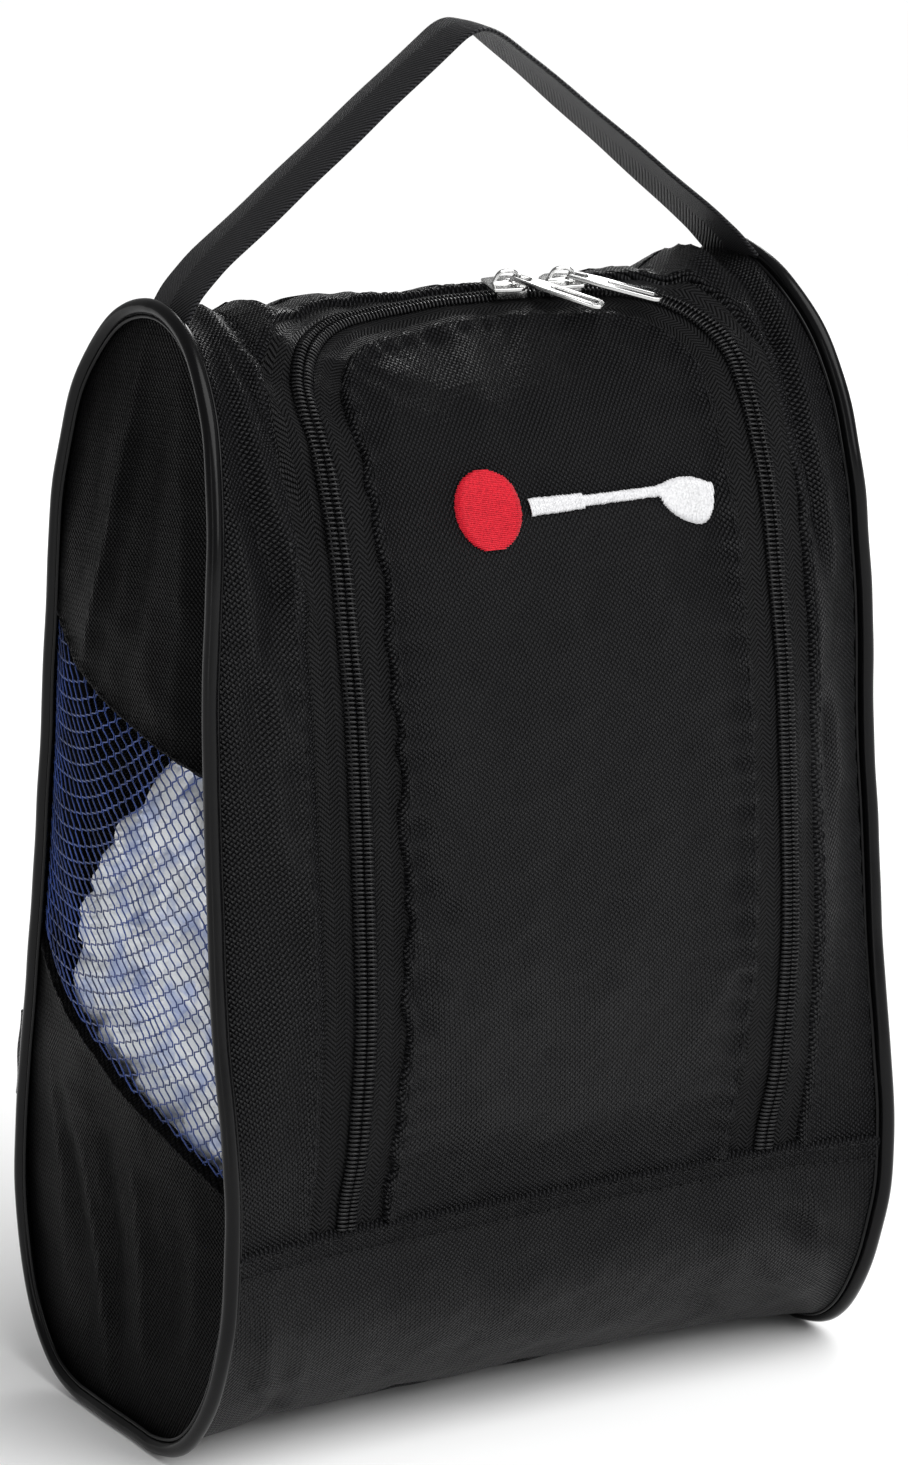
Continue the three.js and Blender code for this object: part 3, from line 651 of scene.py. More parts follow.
OXFORD = oxford_material("oxford", 0.18, 0.0145)
# The gussets' cloth is the same weave made darker and less glossy: a shaded copy of the front's
# cloth, with the sides' shade painted in.
OXFORD_PAINTED_SHADE = oxford_material("oxford_painted_shade", 0.03, 0.0045)
ZIP_TAPE = tape_material("zip_tape", 2.9, 1.5, (0.0002, 0.0002, 0.0002), (0.02, 0.02, 0.021), 0.9)
WEBBING = tape_material("webbing", 12.0, 1.5, (0.001, 0.001, 0.001), (0.034, 0.034, 0.037), 0.7)
BINDING = thread_material("binding", (0.002, 0.002, 0.002), (0.009, 0.009, 0.01), 0.7, 0.0)
PIPING = gloss_material("piping", (0.0022, 0.0022, 0.0025), 0.24, 0.06, 0.13)
COIL = gloss_material("zip_coil", (0.0035, 0.0035, 0.004), 0.28, 0.0, 0.25)
NET = net_material()
PAPER = paper_material()
NICKEL = nickel_material()
BLACK_THREAD = thread_material(
    "black_thread", (0.001, 0.001, 0.001), (0.008, 0.008, 0.009), sheen=0.0
)
RED_THREAD = thread_material("red_thread", (0.36, 0.006, 0.016), (0.56, 0.014, 0.028))
WHITE_THREAD = thread_material("white_thread", (0.5, 0.5, 0.51), (0.68, 0.68, 0.69))

# ---- The zip's arch ----

CORNER_TURN = math.asin((ZIP_HALF - CORNER_ARC) / (TOP_ARC - CORNER_ARC))
CORNER_S = ZIP_TOP + TOP_ARC - (TOP_ARC - CORNER_ARC) * math.cos(CORNER_TURN)
TOP_LENGTH = TOP_ARC * CORNER_TURN
ARC_LENGTH = TOP_LENGTH + CORNER_ARC * (math.pi / 2 - CORNER_TURN)
HALF_ARCH = ARC_LENGTH + BAND_SEAM - CORNER_S
SEAM_OFFSET = TAPE_WIDTH + 0.3


def arch_turn(a):
    """The zip's turn at a distance from its top, up to its straight sides."""
    turn = np.where(a < TOP_LENGTH, a / TOP_ARC, CORNER_TURN + (a - TOP_LENGTH) / CORNER_ARC)
    return np.minimum(turn, math.pi / 2)


def arch(along, offset):
    """x and s at a signed distance along the zip from its top, offset outwards."""
    along, offset = np.broadcast_arrays(np.asarray(along, float), np.asarray(offset, float))
    side, a = np.sign(along), np.abs(along)
    on_top = a < TOP_LENGTH
    turn = arch_turn(a)
    radius = np.where(on_top, TOP_ARC, CORNER_ARC) + offset
    x = np.where(on_top, 0, ZIP_HALF - CORNER_ARC) + radius * np.sin(turn)
    s = np.where(on_top, ZIP_TOP + TOP_ARC, CORNER_S) - radius * np.cos(turn)
    s = s + np.maximum(a - ARC_LENGTH, 0)
    return side * x, s


def surround_rim(along):
    """The surround's outer edge beside each point of the zip."""
    side, a = np.sign(along), np.abs(along)
    corner = CORNER_TURN + (math.pi / 2 - CORNER_TURN) * 5 / 12
    turn = arch_turn(a)
    share = np.clip((turn - corner) / (math.pi / 2 - corner), 0, 1)
    s = BACK_SEAM + (CORNER_S - BACK_SEAM) * share
    x = np.where(turn < corner, edge(BACK_SEAM) * turn / corner, edge(s))
    s = s + np.maximum(a - ARC_LENGTH, 0)
    return side * np.where(a > ARC_LENGTH, edge(s), x), s


def arch_distances(step):
    count = int(HALF_ARCH * FINE / step)
    right = np.linspace(0, HALF_ARCH, count)
    return np.concatenate([-right[:0:-1], right])


def sewn_edge_depth(away, lift=0.8, width=2.4):
    """Depth of folded cloth near its sewn edge: a soft ridge that rolls down at the edge."""
    return -lift * np.exp(-(((away - width) / 2.4) ** 2)) + (1.6 + lift) * np.exp(-away / 0.55)


def pucker(along, away, height=0.28, wave=7.5, reach=5.0):
    """Small gathers where thread pulls the cloth beside a seam."""
    wander = 0.8 * np.sin(along / 23.0) + 0.6 * np.sin(along / 9.7 + 1.3)
    return height * np.sin(2 * math.pi * along / wave + 2.2 * wander) * np.exp(-away / reach)


def finish_piece(made, slot, body, *nodes):
    if nodes:
        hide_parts(*nodes)
    if body == "flap":
        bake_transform(made)
    elif body == "handle":
        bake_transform(made)
    else:
        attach(made, body)
    return made


def solid_piece(name, solid, material, slot, body, *nodes):
    verts, faces = solid
    return finish_piece(new_object(name, verts, faces, material), slot, body, *nodes)


def wall_panel(name, x, s, depth, body, node):
    made = wall_object(name, x, s, depth, FABRIC, OXFORD)
    return finish_piece(made, "oxford", body, node)


# ---- Front surround, flap, band, base and back ----


def spread(count, crowd=0.5):
    """Steps from -1 to 1 that crowd towards both ends."""
    t = np.linspace(-1, 1, count)
    return (1 - crowd) * t + crowd * np.sin(math.pi * t / 2)


def make_surround():
    along = arch_distances(1.9)
    u = 0.5 + 0.5 * spread(fine(24) + 2)
    inner_x, inner_s = arch(along, SEAM_OFFSET)
    rim_x, rim_s = surround_rim(along)
    x = inner_x[:, None] + (rim_x - inner_x)[:, None] * u
    s = inner_s[:, None] + (rim_s - inner_s)[:, None] * u
    reach = np.hypot(rim_x - inner_x, rim_s - inner_s)
    near = reach[:, None] * u
    far = reach[:, None] * (1 - u)
    depth = FABRIC_DEPTH + sewn_edge_depth(near, 1.0)
    depth = depth - pucker(along[:, None], near) - pucker(along[:, None] * 1.1, far, 0.35, 9, 6)
    depth = depth + 0.5 * np.exp(-far / 1.5)
    wall_panel("front_surround_cloth", x, s, depth, "bag", "front_surround")


def flap_grid():
    cap_end = CORNER_S + 12
    half = ZIP_HALF - SEAM_OFFSET
    cols = fine(90) + 1
    t = np.linspace(-1, 1, cols)
    rim_x, rim_s = arch(t * ARC_LENGTH, -SEAM_OFFSET)
    line_x = half * spread(cols)
    rows = fine(16)
    v = (np.linspace(0, 1, rows) ** 1.3)[:, None]
    cap_x = rim_x + (line_x - rim_x) * v
    cap_s = rim_s + (cap_end - rim_s) * v
    body_s = np.linspace(cap_end, BAND_SEAM - 0.1, fine(130))[1:, None]
    x = np.concatenate([cap_x, np.broadcast_to(line_x, (len(body_s), cols))])
    s = np.concatenate([cap_s, np.broadcast_to(body_s, (len(body_s), cols))])
    return x, s


def distance_to_flap_rim(x, s):
    half = ZIP_HALF - SEAM_OFFSET
    away = np.maximum(half - np.abs(x), 0)
    rim_x, rim_s = arch(np.linspace(-ARC_LENGTH, ARC_LENGTH, 240), -SEAM_OFFSET)
    gap = np.hypot(x[..., None] - rim_x, s[..., None] - rim_s).min(-1)
    return np.where(s > CORNER_S, np.minimum(away, gap), gap)


def make_flap():
    x, s = flap_grid()
    away = distance_to_flap_rim(x, s)
    run = np.sign(x) * s + np.where(s < CORNER_S, x, 0)
    wavy = 0.75 * np.sin(run / 3.1 + 1.4 * np.sin(run / 11.0)) + 0.5 * np.sin(run / 7.3)
    x = x + np.sign(x) * wavy * np.exp(-away / 3.0) * np.clip((s - CORNER_S) / 10, 0, 1)
    depth = FABRIC_DEPTH + sewn_edge_depth(away, 1.2) - pucker(run, away, 0.8, 9.5, 7)
    wall_panel("front_flap_cloth", x, s, depth, "flap", "front_flap")


def make_band():
    s = np.linspace(BAND_SEAM - 1.2, BASE_FRONT + 2, fine(62))[:, None]
    x = edge(s) * spread(fine(130), 0.25)
    away = s - s.min() + 0 * x
    depth = FABRIC_DEPTH - 0.9 + sewn_edge_depth(away, 0.55, 2.0) + 0.9 * np.clip(away / 16, 0, 1)
    depth = depth - pucker(x, away, 0.3, 10, 7)
    wall_panel("lower_front_band_cloth", x, s, depth, "bag", "lower_front_band")


def make_base():
    s = np.linspace(BASE_FRONT, BASE_BACK + GIRTH, fine(30))[:, None]
    x = edge(s) * spread(fine(110), 0.25)
    wall_panel("base_cloth", x, s, FABRIC_DEPTH + 0.1, "bag", "base_panel")


def make_back():
    s = np.linspace(BASE_BACK - 2, BACK_SEAM + 0.2, fine(170))[:, None]
    x = edge(s) * spread(fine(100), 0.25)
    away = s.max() - s + 0 * x
    sides = edge(s) - np.abs(x)
    depth = FABRIC_DEPTH - pucker(x, away, 0.3, 9, 6) - pucker(s + 0 * x, sides, 0.35, 9, 6)
    wall_panel("back_cloth", x, s, depth, "bag", "back_panel")


make_surround()
make_flap()
make_band()
make_base()
make_back()

# ---- Zip ----


def make_tape(side, name, body, node):
    along = arch_distances(2.6)
    offset = side * np.linspace(0.35, TAPE_WIDTH + 2.5, 12)
    x, s = arch(along[:, None], offset[None, :])
    wave = 0.15 * np.sin(along / 3.1)[:, None] * np.linspace(0, 1, 12)
    map_uv = stacked(offset[None, :], along[:, None])
    depth = TAPE_DEPTH + 1.3 * np.linspace(0, 1, 12) ** 1.5 + wave
    made = wall_object(name, x, s, depth, TAPE, ZIP_TAPE, map_uv)
    return finish_piece(made, "zip_tape", body, node)


def coil_teeth(side):
    """One slanting turn of the coil at each pitch, which meets its partner in the middle."""
    starts = np.arange(-HALF_ARCH + 1.2, HALF_ARCH - 1.2, COIL_PITCH)
    across = np.array([0.05, 0.4, 1.0, 1.8, 2.6, 3.1, 3.4])
    height = np.array([1.15, 1.35, 1.45, 1.42, 1.2, 0.8, 0.2])
    lean = side * np.array([0.0, 0.06, 0.12, 0.2, 0.28, 0.34, 0.36])
    x, s = arch(starts[:, None] + lean, side * across[None, :])
    points, normals = wrap(x, s, TAPE_DEPTH - height[None, :])
    thick = np.array([0.3, 0.4, 0.42, 0.42, 0.42, 0.4, 0.36])
    return tubes(points, thick[None, :], 7, normals)


def coil_core(side):
    """The cord and sewing that run through the coil."""
    along = arch_distances(1.45)
    x, s = arch(along, side * 2.1)
    points, normals = wrap(x, s, TAPE_DEPTH - 0.45)
    return tubes(points[None], 0.45, 6, normals[None])


def make_coil(side, name, body, node):
    solid_piece(name, merge([coil_teeth(side), coil_core(side)]), COIL, "zip_coil", body, node)


make_tape(1, "zip_tape_outer_cloth", "bag", "zip_tape_outer")
make_tape(-1, "zip_tape_inner_cloth", "flap", "zip_tape_inner")
make_coil(1, "zip_coil_outer_hooks", "bag", "zip_coil_outer")
make_coil(-1, "zip_coil_inner_hooks", "flap", "zip_coil_inner")

# ---- Stitching ----


def arch_stitches(offset, depth):
    def place(t):
        x, s = arch(t - HALF_ARCH, offset)
        return wrap(x, s, depth)

    return stitches(place, 2 * HALF_ARCH - 2)


def cross_stitches(s, depth, lift=0.0):
    half = float(edge(s)) - 1

    def place(t):
        return wrap(t - half, s + lift * np.sin(t / 31), depth)

    return stitches(place, 2 * half)


def make_stitches(name, body, rows):
    solid_piece(name, merge(rows), BLACK_THREAD, "zip_tape", body)


make_stitches("surround_stitches", "bag", [arch_stitches(SEAM_OFFSET + 2.6, 0.2)])
make_stitches("flap_stitches", "flap", [arch_stitches(-SEAM_OFFSET - 2.6, 0.05)])
make_stitches(
    "band_stitches",
    "bag",
    [cross_stitches(BAND_SEAM + 1.4, -0.45), cross_stitches(BAND_SEAM + 6.6, 0.22, 0.3)],
)

# ---- Piping ----


def make_piping(side, name):
    s = np.linspace(0, GIRTH, fine(520), endpoint=False)
    y, z, ny, nz = outline_at(s)
    wander = 0.35 * ripple(s, 0 * s, 31 + side, 90) + 0.12 * ripple(s, 0 * s, 37 + side, 30)
    lane = side * (half_width(z) + wander)
    centre = np.stack([lane, y, z], -1)
    outward = np.stack([0 * s, ny, nz], -1)
    cord = tubes(centre[None], PIPING_RADIUS * (1 - 0.015 * np.sin(s / 4)), 16, outward[None], True)
    welt = centre - outward * 0.9 - [side * 2.9, 0, 0]
    ridge = tubes(welt[None], 0.75, 8, outward[None], True)
    inner = centre - outward * 2.9 - [side * -0.4, 0, 0]
    ridge_inner = tubes(inner[None], 0.7, 8, outward[None], True)
    cords = merge([cord, ridge, ridge_inner])
    solid_piece("piping_cord_" + name, cords, PIPING, "piping", "bag", "piping_" + name)


# ---- Gussets and net ----

# Soft ridges of each gusset by y and height.
GUSSET_CREASES = [
    (2, 338, 16, 236, 3.8, 2.2),
    (-14, 330, -10, 240, 6.0, -1.6),
    (20, 322, 30, 250, 6.0, -1.4),
    (-34, 300, -40, 236, 6.0, 1.2),
    (-16, 86, -10, 14, 5.5, 2.0),
    (4, 92, 4, 14, 4.5, -1.8),
    (18, 84, 12, 12, 4.5, 1.8),
    (34, 96, 22, 20, 5.0, -1.4),
    (44, 110, 38, 26, 5.0, 1.0),
    (-38, 88, -24, 22, 5.5, -1.3),
    (-52, 82, -40, 30, 5.0, 0.8),
]
GUSSET_DROOP = [(0, 0), (30, 0), (118, 5), (231, 6), (300, 0), (345, 0)]


def gusset_point(side, s_front, s_back, u, depth):
    y0, z0, ny0, nz0 = outline_at(s_front)
    y1, z1, ny1, nz1 = outline_at(s_back)
    y = (y0 - ny0 * SEWN_EDGE) * (1 - u) + (y1 - ny1 * SEWN_EDGE) * u
    z = (z0 - nz0 * SEWN_EDGE) * (1 - u) + (z1 - nz1 * SEWN_EDGE) * u
    z = z - read_table(z, GUSSET_DROOP) * np.sin(math.pi * u**1.7)
    upright = np.sin(math.pi * np.clip(z, 0, TOP) / TOP)
    out = GUSSET_BULGE * upright * (1 - np.abs(2 * u - 1) ** 3)
    held = 1 - np.abs(2 * u - 1) ** 6
    slack = creases(y, z, GUSSET_CREASES) + 0.35 * ripple(y, z, 41 + side, 32, stretch=1.5)
    slack = slack + 0.15 * ripple(y, z, 43 + side, 12)
    out = out + held * slack * (0.35 + 0.65 * upright)
    return np.stack([side * (half_width(z) + out - depth), y, z], -1)


def side_normals(points, side):
    """The direction straight out of the bag's side at each point."""
    out = np.zeros_like(points)
    out[..., 0] = side
    return out


def gusset_cloth(side, name, front, back, rows, hem, node):
    """A gusset panel, hemmed at the rim where it meets the window."""
    v = np.linspace(0, 1, fine(rows))[:, None]
    u = (0.5 + 0.5 * spread(fine(56), 0.35))[None, :]
    s_front, s_back = between(front, v), between(back, v)
    length = abs(front[1] - front[0])
    away = length * (v if hem == "top" else 1 - v) + 0 * u
    depth = FABRIC_DEPTH + sewn_edge_depth(away, 0.5) - pucker(u * 110, away, 0.3, 8, 5)
    outer = gusset_point(side, s_front, s_back, u, depth)
    inner = gusset_point(side, s_front, s_back, u, depth + FABRIC)
    # The gussets use the darker copy of the oxford, which has painted shade.
    made = sheet_object(name, outer, inner, outer[..., 1:], OXFORD_PAINTED_SHADE)
    return finish_piece(made, "oxford", "bag", node)


def net_strands(side, front, back):
    """Zigzag threads that meet their neighbours in turn, which leaves six-sided holes."""
    columns = fine(112 / NET_SPACING)
    rows = fine(124 / NET_ROW)
    i = np.arange(columns + 1)[:, None]
    j = np.arange(rows * 2 + 1)[None, :]
    swing = np.where((j // 2 + i) % 2 == 0, 0.36, -0.36)
    u = np.clip((i + 0.5 + swing) / (columns + 1), 0.004, 0.996) ** 1.3
    v = j / (rows * 2)
    s_front, s_back = between(front, v), between(back, v)
    sewn_under = 2.6 * np.exp(-120 * np.minimum(v, 1 - v) / 1.8)
    points = gusset_point(side, s_front, s_back, u, FABRIC_DEPTH + 0.7 + sewn_under)
    return tubes(points, NET_THREAD, 5, side_normals(points, side))


def seam_stitches(side, s_front, s_back, depth):
    y0, y1 = float(outline_at(s_front)[0]), float(outline_at(s_back)[0])

    def place(t):
        points = gusset_point(side, s_front, s_back, 0.02 + 0.96 * t / abs(y1 - y0), depth)
        return points, side_normals(points, side)

    return stitches(place, abs(y1 - y0))


def make_gusset(side, name):
    top, foot = (
        [float(at_height(heights[at], at)) for at in ("front", "back")]
        for heights in (WINDOW_TOP, WINDOW_FOOT)
    )
    gusset_cloth(
        side, "gusset_upper_cloth_" + name, (1.5, top[0]), (-1.5, top[1]), 74, "foot",
        "gusset_upper_" + name,
    )
    gusset_cloth(
        side, "gusset_lower_cloth_" + name, (foot[0], BASE_FRONT + 24), (foot[1], BASE_BACK - 24),
        66, "top", "gusset_lower_" + name,
    )
    strands = net_strands(side, (top[0] - 2, foot[0] + 2), (top[1] + 2, foot[1] - 2))
    solid_piece("net_window_" + name, strands, NET, "net", "bag", "gusset_mesh_" + name)
    make_stitches(
        "gusset_stitches_" + name,
        "bag",
        [
            seam_stitches(side, top[0] - 2.6, top[1] + 2.6, 0.42),
            seam_stitches(side, foot[0] + 2.6, foot[1] - 2.6, 0.42),
        ],
    )


# ---- Crumpled paper ----

# Front and rear edges of the paper, as height and y.
PAPER_FRONT = [(0, -30), (20, -44), (60, -59), (100, -62), (240, -50)]
PAPER_REAR = [
    (0, 40), (60, 57), (100, 56), (130, 51), (150, 45), (165, 38), (179, 29),
    (192, 19), (215, 3), (225, -10), (236, -32),
]


def signed_power(value, exponent):
    """A power that keeps the sign."""
    return np.sign(value) * np.abs(value) ** exponent


def make_paper(side, name):
    rows, cols = fine(110), fine(130)
    t = np.linspace(0.02, 0.98, rows)[:, None]
    turn = np.linspace(0, 2 * math.pi, cols, endpoint=False)[None, :]
    z = 8 + 226 * t
    front, rear = read_table(z, PAPER_FRONT), read_table(z, PAPER_REAR)
    ends = np.sin(math.pi * np.clip(t, 0, 1)) ** 0.35
    y = (front + rear) / 2 + (rear - front) / 2 * ends * signed_power(np.cos(turn), 0.8)
    inward = 23.5 - 19 * ends * signed_power(np.sin(turn), 0.42)
    upright = np.sin(math.pi * z / TOP)
    lane = half_width(z) + (GUSSET_BULGE - 2.5) * upright - inward
    seeds = np.random.default_rng(50 + side).uniform([-70, 0, 0], [60, 250, 40], (260, 3))
    flat = stacked(y, z, inward)[..., None, :] - seeds
    reach = np.sort(np.linalg.norm(flat, axis=-1), axis=-1)[..., :2]
    crush = 0.7 * (reach[..., 1] - reach[..., 0]) - 0.35 * reach[..., 0]
    lane = lane + np.clip(crush, -5, 2) - 0.8
    points = stacked(side * lane, y, z)
    verts = np.concatenate([points.reshape(-1, 3), points[:1].mean(1), points[-1:].mean(1)])
    r, c = np.meshgrid(np.arange(rows - 1), np.arange(cols), indexing="ij")
    nxt = (c + 1) % cols
    quads = np.stack([r * cols + c, r * cols + nxt, (r + 1) * cols + nxt, (r + 1) * cols + c], -1)
    quads = facing_out(points.reshape(-1, 3), quads.reshape(-1, 4))
    forward = bool((quads[0] == [0, 1, cols + 1, cols]).all())
    faces = quads.tolist()
    low, high, last = rows * cols, rows * cols + 1, (rows - 1) * cols
    for k in range(cols):
        n = (k + 1) % cols
        faces.append((low, n, k) if forward else (low, k, n))
        faces.append((high, last + k, last + n) if forward else (high, last + n, last + k))
    made = new_object("crumpled_paper_" + name, verts, faces, PAPER, smooth=False)
    return finish_piece(made, "tissue", "bag", "tissue_wad_" + name)


for side, name in ((-1, "left"), (1, "right")):
    make_piping(side, name)
    make_gusset(side, name)
    make_paper(side, name)
    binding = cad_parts["seam_binding_" + name]
    binding.data.materials.clear()
    binding.data.materials.append(BINDING)

# ---- Sliders and pulls ----

SLIDER_ANGLES = {"left": 4.4, "right": 10.8}
PULL_YAWS = {"left": -44, "right": -28}
PULL_DROOP = 7
SLIDER_LENGTH = 13
NOSE_HALF = 5.6
TAIL_HALF = 4.8
PLATE_FOOT = 0.3 + 2.4 + 0.6
PLATE_TOP = PLATE_FOOT + 1.2
BOTTOM_TOP = -TAPE - 1.5
BAIL_SPAN = 8.4
BAIL_RISE = 4.2
PIVOT_HEIGHT = PLATE_TOP + 1.7


def rotation(axis, degrees):
    c, s = math.cos(math.radians(degrees)), math.sin(math.radians(degrees))
    a, b = [k for k in range(3) if k != axis]
    turned = np.eye(3)
    turned[a, a] = turned[b, b] = c
    turned[a, b], turned[b, a] = (s, -s) if axis == 1 else (-s, s)
    return turned


def zip_frames():
    """The middle of each slider on the zip and its axes as columns: along, across and out."""
    points, _ = wrap(np.zeros(3), ZIP_TOP + np.array([-2.0, 0, 2.0]), TAPE_DEPTH, 0)
    down = unit(points[2] - points[0])
    origin = points[1]
    out = -np.cross([1.0, 0, 0], down)
    x, s = arch(0.8 * TOP_LENGTH, 0.0)
    chord = wrap(x, s, TAPE_DEPTH, 0)[0] - origin
    drop = chord @ down
    radius = (chord[0] ** 2 + drop**2) / (2 * drop)
    centre = origin + down * radius
    frames = {}
    for name, angle in SLIDER_ANGLES.items():
        axes = np.column_stack([[1.0, 0, 0], -down, out]) @ rotation(2, -angle)
        frames[name] = (centre + axes[:, 1] * radius, axes)
    return frames


def placed(made, origin, axes):
    """Moves an object made in millimetres round its own origin to its place on the bag."""
    mesh = made.data
    co = np.empty(len(mesh.vertices) * 3)
    mesh.vertices.foreach_get("co", co)
    co = co.reshape(-1, 3) @ axes.T + (origin - [0, DEPTH_CENTRE, 0]) * MM
    mesh.vertices.foreach_set("co", co.ravel())
    mesh.update()
    return made


def flat_metal(loops, z0, z1, round_off=0.3):
    """A flat piece with holes and rounded edges: closed loops of x and y, between two heights."""
    curve = bpy.data.curves.new("outline", "CURVE")
    curve.dimensions = "2D"
    curve.fill_mode = "BOTH"
    for loop in loops:
        spline = curve.splines.new("POLY")
        spline.points.add(len(loop) - 1)
        for point, (x, y) in zip(spline.points, loop):
            point.co = (x, y, 0, 1)
        spline.use_cyclic_u = True
    curve.extrude = (z1 - z0) / 2 - round_off
    curve.bevel_depth = round_off
    curve.bevel_resolution = 2
    curve.offset = -round_off
    holder = add_object("outline", curve)
    graph = bpy.context.evaluated_depsgraph_get()
    mesh = holder.evaluated_get(graph).to_mesh()
    verts = [(v.co.x, v.co.y, v.co.z + (z0 + z1) / 2) for v in mesh.vertices]
    faces = [tuple(p.vertices) for p in mesh.polygons]
    holder.evaluated_get(graph).to_mesh_clear()
    bpy.data.objects.remove(holder)
    bpy.data.curves.remove(curve)
    return np.array(verts), faces


def rounded(points, radius, count=11):
    """A closed loop with each corner turned into a small arc."""
    p = [np.array(q, float) for q in points]
    loop = []
    for i, corner in enumerate(p):
        before, after = p[i - 1] - corner, p[(i + 1) % len(p)] - corner
        cut = min(radius, np.linalg.norm(before) * 0.45, np.linalg.norm(after) * 0.45)
        a, b = corner + unit(before) * cut, corner + unit(after) * cut
        for t in np.linspace(0, 1, count):
            loop.append(tuple((1 - t) ** 2 * a + 2 * t * (1 - t) * corner + t * t * b))
    return loop


def pill(x0, x1, half, count=20):
    ends = np.linspace(-math.pi / 2, math.pi / 2, count)
    right = [(x1 - half + half * math.cos(t), half * math.sin(t)) for t in ends]
    left = [(x0 + half - half * math.cos(t), -half * math.sin(t)) for t in ends]
    return right + left


def slider_plan(nose, back_half):
    half = SLIDER_LENGTH / 2
    return [
        (-nose * half, -TAIL_HALF), (nose * half * 0.1, -NOSE_HALF),
        (nose * half * 0.5, -NOSE_HALF), (nose * half, -NOSE_HALF * 0.5),
        (nose * half, back_half * 0.5), (nose * half * 0.5, back_half),
        (nose * half * 0.1, back_half), (-nose * half, back_half * 0.86),
    ]


def block(x, y, z, round_off=0.18):
    loop = [(x[0], y[0]), (x[1], y[0]), (x[1], y[1]), (x[0], y[1])]
    return flat_metal([rounded(loop, 0.4)], z[0], z[1], round_off)


def slider_solid(nose):
    post = (1.5, 5) if nose > 0 else (-5, -1.5)
    bail_x = np.linspace(-1, 1, 25) * BAIL_SPAN / 2
    lift = PLATE_TOP - 0.3 + (BAIL_RISE - 0.3) * (1 - np.abs(np.linspace(-1, 1, 25)) ** 4)
    bail = np.stack([bail_x, 0 * bail_x, lift], -1)
    crown_x = np.linspace(-5.2, 5.2, 15)
    crown = np.stack([crown_x, 0 * crown_x, 0 * crown_x + PLATE_TOP - 0.5], -1)
    swell = 0.3 + 1.3 * np.sqrt(np.maximum(0, 1 - (crown_x / 5.3) ** 2))
    up = np.array([0, 1.0, 0])
    return merge([
        flat_metal([rounded(slider_plan(nose, NOSE_HALF), 1.4)], PLATE_FOOT, PLATE_TOP),
        flat_metal([rounded(slider_plan(nose, 0.2), 0.3)], BOTTOM_TOP - 1.2, BOTTOM_TOP, 0.15),
        block(post, (-0.2, 0.2), (BOTTOM_TOP - 0.6, PLATE_FOOT + 0.6), 0.05),
        block((-5, 5), (-TAIL_HALF, -TAIL_HALF + 0.8), (0.9, PLATE_FOOT + 0.5), 0.2),
        tubes(bail[None], 0.62, 32, up),
        tubes(crown[None], swell[None], 32, up),
    ])


def pull_solid():
    length, half = PULL_LENGTH, 3.0
    outer = [(0.2, -2.2), (5.5, -2.5), (10, -half)]
    ends = np.linspace(-math.pi / 2, math.pi / 2, 22)
    outer += [(length - half + half * math.cos(t), half * math.sin(t)) for t in ends]
    outer += [(10, half), (5.5, 2.5), (0.2, 2.2)]
    eye = rounded([(0.75, -1.45), (5.6, -1.6), (5.6, 1.6), (0.75, 1.45)], 1.2)
    parts = [flat_metal([outer, eye, pill(12.0, 27.0, 1.1)], -PULL_THICK / 2, PULL_THICK / 2, 0.35)]
    t = np.linspace(-1, 1, 9)
    bar = np.stack([0 * t + 0.25, 2.3 * t, 0 * t], -1)
    parts.append(tubes(bar[None], 0.62, 32, np.array([0, 0, 1.0])))
    return merge(parts)


def metal_object(name, solid, origin, axes):
    verts, faces = solid
    made = new_object(name, verts + [0, DEPTH_CENTRE, 0], faces, NICKEL)
    return placed(made, origin, axes)


def smooth_by_angle(made, degrees=12):
    sharp = math.radians(degrees)
    mesh = made.data
    form = bmesh.new()
    form.from_mesh(mesh)
    bmesh.ops.remove_doubles(form, verts=form.verts, dist=1e-7)
    bmesh.ops.recalc_face_normals(form, faces=form.faces)
    for side in form.edges:
        side.smooth = len(side.link_faces) != 2 or side.calc_face_angle(0) < sharp
    form.to_mesh(mesh)
    form.free()


for name, (origin, axes) in zip_frames().items():
    nose = 1 if name == "left" else -1
    slider = metal_object("slider_" + name, slider_solid(nose), origin, axes)
    smooth_by_angle(slider)
    finish_piece(slider, "nickel", "slider_" + name, "slider_body_" + name)
    turn = rotation(2, PULL_YAWS[name]) @ rotation(1, PULL_DROOP)
    place = origin + axes @ np.array([BAIL_SPAN / 2 - 2, 0, PIVOT_HEIGHT])
    pull = metal_object("pull_" + name, pull_solid(), place, axes @ turn)
    smooth_by_angle(pull)
    finish_piece(pull, "nickel", "pull_" + name, "pull_tab_" + name)

# ---- Emblem: a ball and a club in satin stitch ----

EMBLEM_HEIGHT = 287
BALL_X, BALL_RADIUS = -24, 11
CLUB_LENGTH = 63


def satin(starts, ends, lift=0.55, radius=0.3):
    """Threads from start to end points of x and s, side by side over a padded shape."""
    t = np.linspace(0, 1, 9)[None, :, None]
    flat = starts[:, None] * (1 - t) + ends[:, None] * t
    points, normals = wrap(flat[..., 0], flat[..., 1], FABRIC_DEPTH - 0.2)
    reach = np.linalg.norm(ends - starts, axis=-1)[:, None, None]
    arc = (4 * t * (1 - t)) ** 0.4 * np.minimum(lift, reach * 0.25)
    rng = np.random.default_rng(len(starts))
    arc = arc + rng.uniform(-0.05, 0.05, (len(starts), 1, 1))
    return tubes(points + normals * arc, radius, 6, normals)


